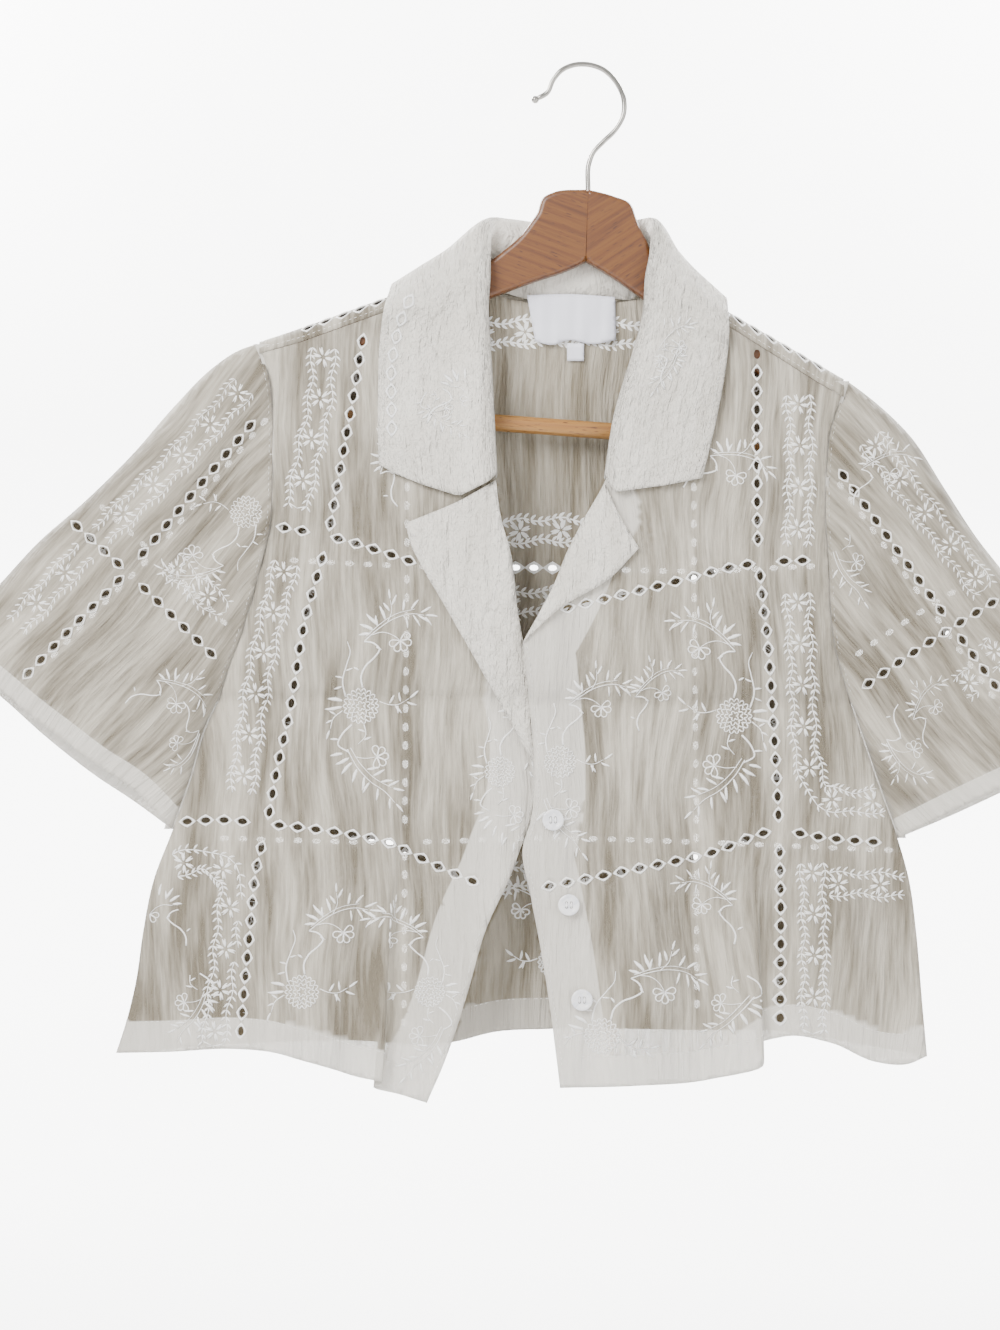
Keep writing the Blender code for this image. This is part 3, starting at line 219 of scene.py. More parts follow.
# Arms of the hanger, each from the top of its joint out along its upper edge and back,
# and the wire of the hook.
WOOD_RIGHT = ((0.8, -80), (-21.4, -81.9), (-27.9, -85.2), (-31.9, -95.5), (-35.1, -100.1),
              (-44.2, -111.8), (-52.6, -119), (-63.1, -126.8), (-75.4, -131.3), (-94.9, -138.5),
              (-128.7, -152.8), (-182.7, -172.9), (-202.2, -181.3), (-213.2, -191.8),
              (-220.3, -208.7), (-217.1, -223), (-208.1, -228.2), (-206.7, -210),
              (-185.9, -199.6), (-120.9, -174.2), (-65, -151.5), (-39, -141.7), (-3.9, -128.7),
              (-0.5, -126.8))
WOOD_LEFT = ((1.4, -80), (18.2, -84.5), (29.2, -89.7), (31.9, -96.9), (35.1, -105.3),
             (39, -112.5), (44.9, -127.4), (53.3, -138.5), (67.6, -149.5), (92.3, -163.8),
             (157.3, -205.4), (169, -218.4), (178.1, -233.3), (181.3, -243.8), (179.4, -254.2),
             (169, -255.1), (170.3, -236.6), (139.1, -217.8), (74.1, -176.2), (35.8, -150.2),
             (18.2, -137.8), (0.1, -126.8))
WIRE = ((-32.2, -20.8), (-25.4, -16.9), (-21.4, -8.5), (-15.6, -2), (-7.8, 1.3), (0, 1.7),
        (10.4, -1.3), (19.5, -9.8), (24.4, -20.2), (24.4, -30.6), (18.9, -41), (10.4, -49.4),
        (4.5, -55.9), (2, -62.4), (1.3, -80.3))
LABEL = ((-38.4, -148.2), (-9.8, -147.6), (18.9, -149.5), (19.5, -177.5), (2.6, -180.1),
         (-10.4, -177.5), (-23.4, -180.7), (-33.1, -178.1))
SIZE_TAG = ((-12.3, -179.7), (-1.3, -179.7), (-1.3, -191.1), (-12.3, -191.1))
CARE_LABEL = ((169, -541.5), (193.7, -536.9), (197.6, -568.1), (172.9, -573.3))


# Finer creases of the front, the back and the sleeves, like the folds above.
FRONT_CREASES = ((-156.7, -171, -174.2, -294.4, 2.4, 7),
                 (-185.9, -190.5, -210.6, -359.4, 2.7, 8),
                 (-107.9, -320.4, -122.2, -463.4, 3.3, 9),
                 (-94.9, -346.4, -87.1, -515.5, -3.0, 9),
                 (-133.9, -359.4, -153.4, -606.5, -2.7, 8),
                 (-166.4, -372.4, -192.4, -632.5, 3.0, 10),
                 (-218.4, -450.4, -241.2, -635.7, -3.3, 9),
                 (-247.7, -450.4, -269.1, -635.7, 3.3, 8),
                 (-75.4, -424.4, -87.1, -658.5, 3.0, 9), (2.6, -359.4, 9.1, -661.7, -3.0, 10),
                 (35.1, -326.9, 41.6, -658.5, 3.9, 9), (67.6, -320.4, 67.6, -655.2, -3.6, 9),
                 (83.9, -346.4, 92.3, -652, 3.3, 8), (126.1, -236, 139.1, -626, 2.4, 8),
                 (155.3, -359.4, 183.3, -632.5, 3.6, 8), (171.6, -411.4, 207.3, -639, -3.0, 8),
                 (96.9, -171, 101.4, -307.4, 2.1, 7), (132.6, -203.5, 143, -320.4, -2.1, 7))
BACK_CREASES = ((-172.9, -229.5, -210.6, -632.5, 3.3, 10),
                (-88.4, -294.4, -101.4, -626, -2.7, 9), (-52.6, -171, -55.9, -450.4, 2.4, 9),
                (2.6, -171, 6.5, -476.4, -2.4, 8), (35.1, -177.5, 41.6, -541.5, 2.7, 9),
                (-16.9, -346.4, -22.1, -626, 3.0, 9), (126.1, -255.5, 158.6, -619.5, 3.3, 10),
                (178.1, -359.4, 204.1, -632.5, -2.7, 9))
SLEEVE_CREASES = {
    "right": ((-210.6, -203.5, -341.9, -372.4, 3.3, 9),
              (-210.6, -242.5, -309.4, -411.4, -3.0, 9),
              (-213.2, -294.4, -263.9, -450.4, 3.9, 10),
              (-224.9, -190.5, -367.9, -346.4, 2.7, 7)),
    "left": ((171.6, -229.5, 259.4, -411.4, 3.3, 9), (165.1, -268.4, 236.6, -437.4, -3.3, 9),
             (168.3, -320.4, 207.3, -469.9, 3.6, 9), (191.1, -223, 275.6, -346.4, 2.4, 7)),
}

# Lines of the whole lattice where the solids have none.
LADDERS_BACK = (
    ((-116.4, -171), (-116.4, -320.4), (-117.7, -476.4), (-118.3, -626)),
    ((70.2, -171), (70.2, -320.4), (71.5, -476.4), (72.2, -619.5)),
    ((-195.7, -320.4), (-116.4, -324.4), (-16.9, -325.7), (70.2, -327.6), (148.8, -324.4)),
    ((-241.2, -501.2), (-117.7, -503.8), (-23.4, -501.2), (71.5, -503.8), (197.6, -509)),
)
LADDERS_STRIP = (
    ((-185.9, -146.2), (-156.7, -133.2), (-120.9, -118.3), (-81.9, -114.4)),
    ((55.9, -126.8), (74.1, -143.7), (113.1, -168.3), (158.6, -194.3)),
)
# Garlands by panel: centre lines.
GARLANDS = {
    "front_right": (
        ((-170.3, -180.7), (-172.9, -216.5), (-180.1, -250.2), (-187.8, -286.7)),
        ((-194.3, -320.4), (-201.5, -347.8), (-210.6, -385.4), (-218.4, -430.9),
         (-224.2, -473.2)),
        ((-269.1, -519.4), (-248.3, -515.5), (-234, -523.2), (-233.3, -561), (-238.6, -606.5),
         (-242.5, -636.4))),
    "front_left": (
        ((137.8, -211.2), (139.1, -242.5), (138.5, -281.4), (137.2, -312.7)),
        ((137.2, -339.9), (139.1, -372.4), (141.1, -411.4), (144.3, -451.8), (153.4, -473.2),
         (171.6, -477.8), (196.3, -476.4)),
        ((146.9, -515.5), (148.2, -561), (147.6, -628.6)),
        ((156, -531.1), (178.1, -531.1), (207.3, -532.4))),
    "sleeve_right": (
        ((-221, -206.1), (-253.5, -242.5), (-286, -276.2), (-315.9, -304.9), (-341.9, -332.2),
         (-371.8, -364.7)),
        ((-271.7, -320.4), (-243.1, -346.4), (-234, -354.2))),
    "sleeve_left": (
        ((183.3, -239.8), (204.1, -268.4), (230.1, -302.2), (258.7, -339.9)),
        ((269.1, -372.4), (259.4, -390.7), (243.1, -404.9))),
    "back": (
        ((-101.4, -176.2), (-16.9, -171.6), (58.5, -176.2)),
        ((-185.9, -300.9), (-101.4, -304.9), (-16.9, -300.9), (58.5, -306.2), (139.1, -300.9)),
        ((-192.4, -347.8), (-101.4, -350.4), (-16.9, -347.8), (58.5, -350.4), (145.6, -346.4)),
        ((-224.9, -527.1), (-101.4, -528.5), (-16.9, -525.9), (58.5, -528.5), (191.1, -532.4)),
        ((-96.9, -372.4), (-97.5, -411.4), (-98.8, -476.4)),
        ((50.7, -372.4), (50.7, -411.4), (52, -476.4)),
        ((-137.8, -372.4), (-139.1, -476.4)), ((92.3, -372.4), (93.6, -476.4)),
        ((-96.9, -544.7), (-98.8, -624.6)), ((50.7, -544.7), (52, -618.1)),
        ((-137.8, -171), (-137.8, -281.4)), ((92.3, -190.5), (92.3, -281.4))),
}
# Sprays by panel: x, z of the round flower, turn (degrees), flip, size, parts.
SPRAYS = {
    "front_right": ((-146.2, -415.4, 0, 1, 1.0, 'umd'), (-184.6, -601.2, -4, 1, 0.95, 'um'),
                    (-101.4, -601.2, 4, -1, 0.85, 'umd'), (-55.9, -458.2, 0, 1, 0.85, 'umd'),
                    (-118.3, -294.4, 30, 1, 0.8, 'u'), (-257.4, -580.5, 10, -1, 0.8, 'ud')),
    "front_left": ((96.2, -421.9, -4, -1, 1.0, 'umd'), (-16.9, -451.8, -6, 1, 0.9, 'umd'),
                   (55.9, -281.4, -38, 1, 0.9, 'u'), (10.4, -629.9, -24, 1, 1.0, 'um'),
                   (96.9, -580.5, 0, -1, 0.85, 'ud'), (35.1, -440.7, 8, 1, 0.75, 'u')),
    "sleeve_right": ((-221, -289.2, 160, 1, 0.9, 'mu'), (-308.1, -419.2, -52, 1, 0.85, 'u'),
                     (-265.2, -404.9, -150, 1, 0.7, 'u')),
    "sleeve_left": ((205.4, -404.9, 160, -1, 0.8, 'u'), (226.2, -450.4, 30, 1, 0.7, 'u'),
                    (171.6, -294.4, -10, 1, 0.8, 'ud')),
    "back": ((-172.9, -236, 0, 1, 0.9, 'umd'), (131.3, -242.5, 0, -1, 0.9, 'umd'),
             (-172.9, -424.4, 0, 1, 0.9, 'umd'), (-23.4, -427.7, 0, 1, 1.0, 'umd'),
             (131.3, -425.8, 0, -1, 0.9, 'umd'), (-192.4, -590.2, 0, -1, 0.8, 'um'),
             (-22.1, -581.8, 0, -1, 0.8, 'um'), (139.1, -590.2, 0, 1, 0.8, 'um')),
}
FLOWER_PITCH, LEAF_PITCH = 27.0, 4.5

# A bough round its round flower (mm): part, points of a stem, width, taper.
SPRAY_STEMS = (
    ("u", ((1, 12), (0, 19), (3, 26), (9, 32), (12, 37), (8, 41), (2, 42)), 1.9, 0.8),
    ("u", ((2, 42), (11, 50), (22, 57), (34, 60), (41, 59)), 1.1, 0.6),
    ("u", ((3, 45), (12, 53), (23, 60), (35, 63)), 0.9, 0.6),
    ("u", ((6, 46), (14, 48), (21, 46), (25, 43)), 0.9, 0.8),
    ("u", ((17, 54), (20, 62), (19, 69)), 0.9, 0.6),
    ("m", ((-10, 6), (-12, 16), (-9, 28), (-7, 36), (-9, 42)), 1.7, 0.45),
    ("m", ((12, 3), (18, 1), (24, 1), (31, 5)), 1.0, 0.6),
    ("m", ((-12, -3), (-18, -8), (-20, -15)), 1.2, 0.6),
    ("d", ((-6, -12), (-12, -18), (-15, -25), (-8, -30)), 1.8, 0.8),
    ("d", ((-9, -28), (-3, -39), (6, -49), (16, -56), (22, -63)), 1.1, 0.6),
    ("d", ((-7, -27), (0, -38), (9, -47), (20, -53)), 0.9, 0.6),
    ("d", ((-4, -33), (3, -34), (10, -33)), 0.9, 0.8),
    ("d", ((2, -12), (3, -19), (-2, -25)), 1.2, 0.6),
)
# part, base x, z, angle (degrees), length, width, bend (radians).
SPRAY_LEAVES = (
    ("u", 9, 49, 158, 12, 3.4, 0.3), ("u", 12, 52, 136, 13, 3.2, -0.3),
    ("u", 7, 47, 186, 9.5, 3.0, 0.3), ("u", 16, 55, 112, 12, 3.0, 0.3),
    ("u", 11, 51, 100, 9, 2.6, -0.3), ("u", 19, 61, 128, 8.5, 2.6, 0.3),
    ("u", 19.5, 65, 66, 9, 2.4, 0.3), ("u", 19, 69, 96, 8, 2.2, -0.2),
    ("u", 27, 61, 84, 10, 2.4, 0.3), ("u", 32, 62, 52, 10, 2.4, -0.3),
    ("u", 38, 60.5, 30, 10, 2.3, 0.3), ("u", 41, 59, -6, 10, 2.3, -0.4),
    ("u", 36, 59.5, -34, 11, 2.2, -0.4), ("u", 33, 60, -58, 11, 2.0, -0.4),
    ("u", 29, 59, -82, 9.5, 1.9, -0.3), ("u", 41, 58.5, -52, 9, 1.9, -0.3),
    ("u", 9.5, 39, -30, 5, 2.0, 0.3), ("u", -1, 23, 150, 5, 2.0, 0.3),
    ("m", -11, 18, 168, 6.5, 1.9, 0.3), ("m", -10.5, 23, 20, 6, 1.8, 0.3),
    ("m", -12, 13, 198, 6.5, 1.9, -0.3), ("m", -11, 3, 172, 12, 3.4, 0.5),
    ("m", -11, 0, 188, 14, 3.2, -0.4), ("m", -16, -6, 150, 6, 1.9, 0.2),
    ("m", -18, -9, 205, 6, 1.9, 0.3), ("m", -20, -15, 250, 8, 2.2, 0.3),
    ("m", 18, 1, 62, 8, 2.4, 0.3), ("m", 22, 1, -50, 8, 2.4, 0.3),
    ("m", 26, 2, 100, 8, 2.2, -0.3), ("m", 31, 5, 40, 9, 2.3, 0.3),
    ("m", 29, 3, -16, 8.5, 2.3, 0.4), ("m", 24, 1, -88, 6.5, 2.0, 0.3),
    ("d", -14, -22, 176, 7, 2.1, 0.3), ("d", -11, -31, 190, 10, 3.0, 0.4),
    ("d", -7, -33, 206, 12, 3.3, -0.4), ("d", -5, -36, 228, 12.5, 3.3, 0.4),
    ("d", -2, -40, 250, 11.5, 3.0, 0.3), ("d", 2, -45, 262, 11, 2.8, -0.3),
    ("d", 6, -49, 238, 10, 2.7, 0.3), ("d", 11, -52.5, 262, 10, 2.6, -0.3),
    ("d", 3, -41, 10, 10, 2.6, 0.4), ("d", 7, -45.5, 28, 10.5, 2.6, 0.3),
    ("d", 12, -49.5, 6, 10, 2.5, -0.3), ("d", 17, -52, 26, 9.5, 2.4, 0.3),
    ("d", 20, -53, -12, 9.5, 2.4, 0.3), ("d", 22, -63, -48, 9, 2.3, -0.3),
    ("d", 19, -59, -92, 9, 2.3, 0.3), ("d", 1, -22, 20, 7, 2.2, 0.3),
    ("d", 3, -17, 160, 6, 2.0, 0.3),
)
SPRAY_FLOWERS = (("u", 25.5, 42.5, -62), ("d", 10.5, -33, 4))

# How far the lattice of the sleeves' back layer lies from the front's.
BACK_LADDER_SHIFT = {"right": (17.0, 12.0), "left": (-16.0, 13.0)}

# Lower ends of the collar's leaves, from the roll to the outer corner.
COLLAR_END = {"right": ((-58.5, -264.6), (-63.1, -269.1), (-82.5, -278.9), (-105.3, -271.7),
                        (-125.5, -263.9), (-134.6, -258.1)),
              "left": ((12.3, -267.2), (18.9, -276.2), (52, -271.7), (75.4, -267.2))}

# Collar: sprays and ladders on each leaf.
COLLAR_SPRAYS = {
    "right": ((-107.2, -239.8, -22, 1, 0.8, 'u'), (-101.4, -203.5, 12, 1, 0.62, 'd')),
    "left": ((53.3, -217.8, 20, 1, 0.72, 'u'), (50.7, -171, 10, -1, 0.6, 'd')),
}
COLLAR_LADDERS = {"right": (((-94.9, -130.7), (-114.4, -151.5), (-124.8, -184), (-126.1, -236)),),
                  "left": (((58.5, -130.7), (74.1, -146.2), (84.5, -163.2)),)}

# The hanger: thickness by x, the rounding of its edges, and the glued joint in its head
# (x at the top and bottom, and half its opening there).
WOOD_THICKNESS = (((-217.1, 0), (-166.4, 0), (132.6, 0), (182, 0)), (8, 12.4, 12.4, 8))
WOOD_ROUND = 3.2
JOINT_X = np.array((1.1, -0.2))
JOINT_OPEN = (0.03, 0.17)


def run_length(line):
    """Distance from the start of a line to each of its points."""
    return np.r_[0, np.cumsum(np.linalg.norm(np.diff(line, axis=0), axis=1))]


def points_at(line, cum, at):
    """Points of a flat line at these distances from its start."""
    return np.column_stack([np.interp(at, cum, line[:, k]) for k in (0, 1)])


def eased_through(knots, cum, slope, at):
    """Points of a curve through knots: a cubic between each two, by their slopes."""
    k = np.clip(np.searchsorted(cum, at, side="right") - 1, 0, len(knots) - 2)
    column = (-1,) + (1,) * (knots.ndim - 1)
    h = (cum[k + 1] - cum[k]).reshape(column)
    u = (at - cum[k]).reshape(column) / h
    return ((1 + 2 * u) * (1 - u) ** 2 * knots[k] + u * (1 - u) ** 2 * h * slope[k]
            + u * u * (3 - 2 * u) * knots[k + 1] + u * u * (u - 1) * h * slope[k + 1])


def smoothed(points, step):
    """Points about `step` apart on a smooth curve through the given ones."""
    pts = np.asarray(points, float)
    cum = run_length(pts)
    at = np.linspace(0, cum[-1], max(2, round(cum[-1] / step) + 1))
    return eased_through(pts, cum, np.gradient(pts, cum, axis=0), at)


def ring_of(edges):
    """The edges of a piece joined into a ring, and the same ring closed on its start."""
    ring = np.vstack([e[:-1] for e in edges])
    return ring, np.vstack([ring, ring[:1]])


def distance(points, line):
    """Distance from each point to an open line."""
    a, b = line[:-1], line[1:]
    p = points[:, None, :]
    run = b - a
    u = np.clip(((p - a) * run).sum(2) / (run * run).sum(1), 0, 1)
    return np.linalg.norm(p - a - u[..., None] * run, axis=2).min(1)


def inside(points, ring):
    """True for points inside a closed ring, by counting crossings."""
    x, z = points[:, 0:1], points[:, 1:2]
    x0, z0 = ring[:, 0], ring[:, 1]
    x1, z1 = np.roll(x0, -1), np.roll(z0, -1)
    span = (z0 > z) != (z1 > z)
    cross = x0 + (z - z0) * (x1 - x0) / np.where(z1 == z0, 1, z1 - z0)
    return (span & (x < cross)).sum(1) % 2 == 1


def kept(points, closed, clear):
    """True for points inside a closed ring and clear of it."""
    return inside(points, closed) & (distance(points, closed) > clear)


def ease(u):
    u = np.clip(u, 0, 1)
    return u * u * (3 - 2 * u)


def by_x(x, table, values=None):
    table = np.asarray(table, float)
    return np.interp(x, table[:, 0], table[:, 1] if values is None else values)


def by_z(z, line):
    line = np.asarray(line, float)[::-1]
    return np.interp(z, line[:, 1], line[:, 0])


def ridge(x):
    return by_x(x, RIDGE)


def shoulder_round(x):
    return by_x(x, ROUND_AT, ROUND)


def seam_z(x):
    """Height of the front shoulder seam."""
    return ridge(x) - shoulder_round(x) - by_x(x, SEAM_BELOW_AT, SEAM_BELOW)


OUTER = {"right": np.vstack([smoothed(ARMHOLE_RIGHT, 14), smoothed(SIDE_RIGHT, 20)[1:]]),
         "left": np.vstack([smoothed(ARMHOLE_LEFT, 14), smoothed(SIDE_LEFT, 20)[1:]])}
SLEEVES = {"right": (SLEEVE_RIGHT, ARMHOLE_RIGHT, SIDE_RIGHT),
           "left": (SLEEVE_LEFT, ARMHOLE_LEFT, SIDE_LEFT)}


def underarm(side, step=12):
    """The sleeve's lower edge: it hangs just outside the body's side seam."""
    sleeve, armhole, seam = SLEEVES[side]
    away = AWAY[side]
    line = smoothed(seam, step)
    end = sleeve["hem"][-1][1]
    line = line[line[:, 1] > end + 4] + (away * 1.2, 0)
    return np.vstack([[armhole[-1]], line[1:], [sleeve["hem"][-1]]])


def sleeve_half(points, side):
    """Half depth of a sleeve: an oval section between its top fold and its underarm."""
    sleeve, armhole, _ = SLEEVES[side]
    top = distance(points, smoothed(sleeve["top"], 12))
    low = distance(points, underarm(side))
    t = top / np.maximum(top + low, 1e-6)
    out = distance(points, smoothed(armhole, 12))
    depth = SLEEVE_DEPTH + SLEEVE_FLARE * out
    return 0.62 + depth * np.maximum(1 - np.abs(2 * t - 1) ** 2.6, 0) ** 0.6


def half_at_armhole(side):
    """Half depth along the armhole by height, level above the arm of the hanger."""
    line = smoothed(SLEEVES[side][1], 8)[4:]
    half = np.maximum(sleeve_half(line, side), SIDE_EDGE)
    return np.r_[-999, line[::-1, 1]], np.r_[SIDE_EDGE, half[::-1]]


HALF_AT_EDGE = {"right": half_at_armhole("right"), "left": half_at_armhole("left")}


def across(x, z):
    """Share of the way in from the side seams, 0 at either and 1 between, and the edge."""
    right, left = by_z(z, OUTER["right"]), by_z(z, OUTER["left"])
    u = np.clip((x - right) / (left - right), 0, 1)
    edge = np.where(u < 0.5, np.interp(z, *HALF_AT_EDGE["right"]),
                    np.interp(z, *HALF_AT_EDGE["left"]))
    return 1 - np.abs(2 * u - 1) ** 3, edge


def folds(x, z, rows):
    """Depth of the upright folds, each growing from its top to the hem."""
    total = np.zeros_like(x)
    for x_top, z_top, x_hem, z_hem, depth, half in rows:
        run = (z_top - z) / (z_top - z_hem)
        at = x_top + (x_hem - x_top) * run
        total += depth * ease(run) * np.exp(-((x - at) / half) ** 2)
    return total


def body_half(x, z, depths):
    """Distance of the front or the back from the middle plane, without folds."""
    below = seam_z(x) - z
    near = np.exp(-(np.maximum(below, 0) / 45) ** 2)
    share, edge = across(x, z)
    return (near * shoulder_round(x)
            + (1 - near) * (edge + np.interp(below, BODY_DEPTH_X, depths) * share))


def ripple(x, z, run=(0.0, 1.0)):
    """Fine creases along the cloth: two sines across `run`, bent slowly along it (mm)."""
    across_run = x * run[1] - z * run[0]
    along = x * run[0] + z * run[1]
    return (0.42 * np.sin(across_run / 2.3 + 1.6 * np.sin(along / 47) + 0.7 * np.sin(along / 19))
            + 0.26 * np.sin(across_run / 1.35 + 2.2 * np.sin(along / 31 + across_run / 50)))


def front_depth(x, z):
    share, _ = across(x, z)
    below = ease((seam_z(x) - z) / 60)
    return (-body_half(x, z, FRONT_DEPTH)
            - (folds(x, z, FRONT_FOLDS) + folds(x, z, FRONT_CREASES)) * share
            - settings().crinkle * 1000 * ripple(x, z) * below * share)


def turned(x, z, row):
    """Sideways shift and step in depth of a fold that turns back on itself."""
    x_top, z_top, x_hem, z_hem, overlap, step, half = row
    run = (z_top - z) / (z_top - z_hem)
    grow = ease(run)
    u = (x - x_top - (x_hem - x_top) * run) / half
    return (-overlap * grow * u * np.exp(-u * u),
            step * grow * ease((u + 1) / 2) * np.exp(-(np.maximum(u, 0) * half / 70) ** 2))


def place_front_right(x, z):
    shift, step = turned(x, z, TURN_RIGHT[0])
    return x + shift, front_depth(x, z) + step * across(x, z)[0], z


# Heights between which the left front's edge lies over the right one.
TOP_OF_OVERLAP, END_OF_OVERLAP = -320.4, -567.5


def place_front_left(x, z):
    shift, step = turned(x, z, TURN_LEFT[0])
    edge = by_z(z, FRONT_LEFT["front"])
    over = 7 * np.exp(-(np.maximum(x - edge, 0) / 34) ** 2)
    over *= ease((TOP_OF_OVERLAP - z) / 35) * ease((z - END_OF_OVERLAP) / 60)
    return x + shift, front_depth(x, z) + step * across(x, z)[0] - over, z


def place_back(x, z):
    """The back, whose top edge is carried over the shoulder to the front seam."""
    r = shoulder_round(x)
    top = ridge(x)
    v = top - z + (math.pi / 2 - 1) * r
    quarter = math.pi / 2 * r
    turn = np.clip(v / r, -math.pi / 2, math.pi / 2)
    past = np.where(v > quarter, v - quarter, np.where(v < -quarter, -quarter - v, 0))
    seen = top - r * (1 - np.cos(turn)) - past
    share, _ = across(x, seen)
    flat = body_half(x, seen, BACK_DEPTH) + folds(x, seen, BACK_FOLDS) * share
    hold = np.exp(-(past / 30) ** 2)
    return x, np.where(v > quarter, hold * r + (1 - hold) * flat, r * np.sin(turn)), seen


def lapel_on(place, roll):
    """A lapel lying on its panel, closest at the roll and lifted a little beyond it."""
    def lay(x, z):
        px, py, pz = place(x, z)
        off = distance(np.column_stack([x, z]), smoothed(roll, 12))
        return px, py - 1.65 - 2.2 * ease(off / 9) + 1.2 * ease((off - 20) / 40), pz
    return lay


def seen_from(x, y, z):
    """Front-view position at depth y, with the view's own drawing together."""
    k = 1 + y / VIEW_FAR
    return VIEW_X + (x - VIEW_X) * k, y, VIEW_Z + (z - VIEW_Z) * k


TURNS = np.array((-1.25, -0.85, -0.4, 0, 0.4, 0.85, 1.25))


def strip_z(x, turn):
    """Laid-out height of the line at this turn (radians) over the shoulder round."""
    return ridge(x) + (math.pi / 2 - 1 - turn) * shoulder_round(x)


def collar_point(station, column):
    """Depth of a collar point: its own, or resting on the front panel under it."""
    x, z, y = COLLAR[station][column]
    if y is None:
        y = float(front_depth(np.array([x], float), np.array([z], float))[0])
        y -= (1.9, 5.5, 5.0, 3.0)[column]
        if station in (0, len(COLLAR) - 1):
            y += (0, 1.0, 1.5, 0)[column]
    return x, y, z


def clear_of_body(lines):
    """Keep the collar outside the panels that it lies on."""
    x, y, z = lines[..., 0], lines[..., 1], lines[..., 2]
    under = z < ridge(x) - 6
    front = np.minimum(y, front_depth(x, z) - 1.9)
    back = np.maximum(y, body_half(x, z, BACK_DEPTH) + 1.9)
    lines[..., 1] = np.where(under & (y < -6), front, np.where(under & (y > 9), back, y))
    return lines


def smoothed_across(points):
    """A line across the collar, turning over in a soft round at the roll."""
    cum = run_length(points)
    slope = np.gradient(points, cum, axis=0)
    turn = (points[1] - points[0]) / cum[1] + (points[2] - points[1]) / (cum[2] - cum[1])
    slope[1] = turn / max(np.linalg.norm(turn), 0.3)
    round_off = np.array((0, 1.5, 3, 5, 7, 9.5, 13))
    rest = np.linspace(13, cum[-1] - cum[1], 18)[1:]
    at = np.r_[cum[1] * np.array((0, 0.33, 0.66)), cum[1] + np.r_[round_off, rest]]
    return eased_through(points, cum, slope, at)


# Finer cloth.

def back_creases(x, z):
    share, _ = across(x, z)
    return (folds(x, z, BACK_CREASES) + settings().crinkle * 1000 * ripple(x + 40, z)) * share


def place_back_fine(x, z):
    px, py, pz = place_back(x, z)
    past = ease((ridge(x) - pz) / 60) * (py > 0)
    return px, py + back_creases(x, pz) * past, pz


# Directions in which the sleeves' creases and warp run.
SLEEVE_RUN = {"right": (-0.66, -0.75), "left": (0.62, -0.78)}


def place_sleeve(side, sign):
    run = SLEEVE_RUN[side]

    def place(x, z):
        flat = np.column_stack([x, z])
        half = sleeve_half(flat, side)
        soft = np.minimum((half - 0.62) / 6, 1)
        rows = SLEEVE_CREASES[side]
        crease = sum(d * np.exp(-(distance(flat, np.array(((x0, z0), (x1, z1)), float)) / w) ** 2)
                     for x0, z0, x1, z1, d, w in rows)
        own = crease + settings().crinkle * 1000 * ripple(x + 30 * sign, z, run)
        return x, sign * (half + own * soft), z
    return place


# Meshes.

def mesh_object(name, verts, faces, finish, uv=None, layers=None, smooth=None, shade=None):
    """A mesh at the origin, from millimetres; uv is one pair a point, and layers and shade
    are one value a point."""
    mesh = bpy.data.meshes.new(name)
    mesh.from_pydata((np.asarray(verts, float) * MM).tolist(), [],
                     faces if isinstance(faces, list) else faces.tolist())
    corner = np.zeros(len(mesh.loops), np.int32)
    mesh.loops.foreach_get("vertex_index", corner)
    if uv is not None:
        layer = mesh.uv_layers.new(name="cloth")
        layer.data.foreach_set("uv", np.asarray(uv, np.float32)[corner].ravel())
    for kind, values in (("layers", layers), ("shade", shade)):
        if values is not None:
            attribute = mesh.attributes.new(kind, "FLOAT", "POINT")
            attribute.data.foreach_set("value", np.asarray(values, np.float32))
    mesh.polygons.foreach_set("use_smooth", np.ones(len(mesh.polygons), bool)
                              if smooth is None else smooth)
    mesh.materials.append(finish)
    mesh.validate()
    obj = bpy.data.objects.new(name, mesh)
    bpy.context.scene.collection.objects.link(obj)
    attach(obj, "root")
    return obj


def placed(place, flat, height=0.0, outward=1):
    """Points of the laid-out cloth in space, raised by a height along its own normal."""
    x, z = flat[:, 0], flat[:, 1]
    mid = np.column_stack(seen_from(*place(x, z)))
    if np.isscalar(height) and height == 0:
        return mid
    right = np.column_stack(seen_from(*place(x + 0.6, z))) - mid
    up = np.column_stack(seen_from(*place(x, z + 0.6))) - mid
    normal = np.cross(right, up)
    normal /= np.maximum(np.linalg.norm(normal, axis=1), 1e-9)[:, None]
    return mid + normal * (np.broadcast_to(height, len(mid)) * outward)[:, None]


def wall(obj, thick):
    """Gives a sheet its thickness in millimetres, half to either side."""
    mod = obj.modifiers.new("wall", "SOLIDIFY")
    mod.thickness = thick * MM
    mod.offset = 0.0
    return obj


def grid_quads(rows, cols):
    """Faces of a grid of points that runs row by row."""
    i, j = np.meshgrid(np.arange(rows - 1), np.arange(cols - 1), indexing="ij")
    return np.stack([i * cols + j, (i + 1) * cols + j, (i + 1) * cols + j + 1,
                     i * cols + j + 1], -1).reshape(-1, 4)


def ring_edges(loops):
    """Pairs of point numbers round each loop, as the mesher wants them."""
    pairs, start = [], 0
    for loop in loops:
        n = len(loop)
        pairs += [(start + i, start + (i + 1) % n) for i in range(n)]
        start += n
    return pairs


def twice_area(flat, tris):
    """Twice each triangle's area in the layout, below 0 where it runs clockwise."""
    a, b, c = flat[tris[:, 0]], flat[tris[:, 1]], flat[tris[:, 2]]
    return (b[:, 0] - a[:, 0]) * (c[:, 1] - a[:, 1]) - (b[:, 1] - a[:, 1]) * (c[:, 0] - a[:, 0])


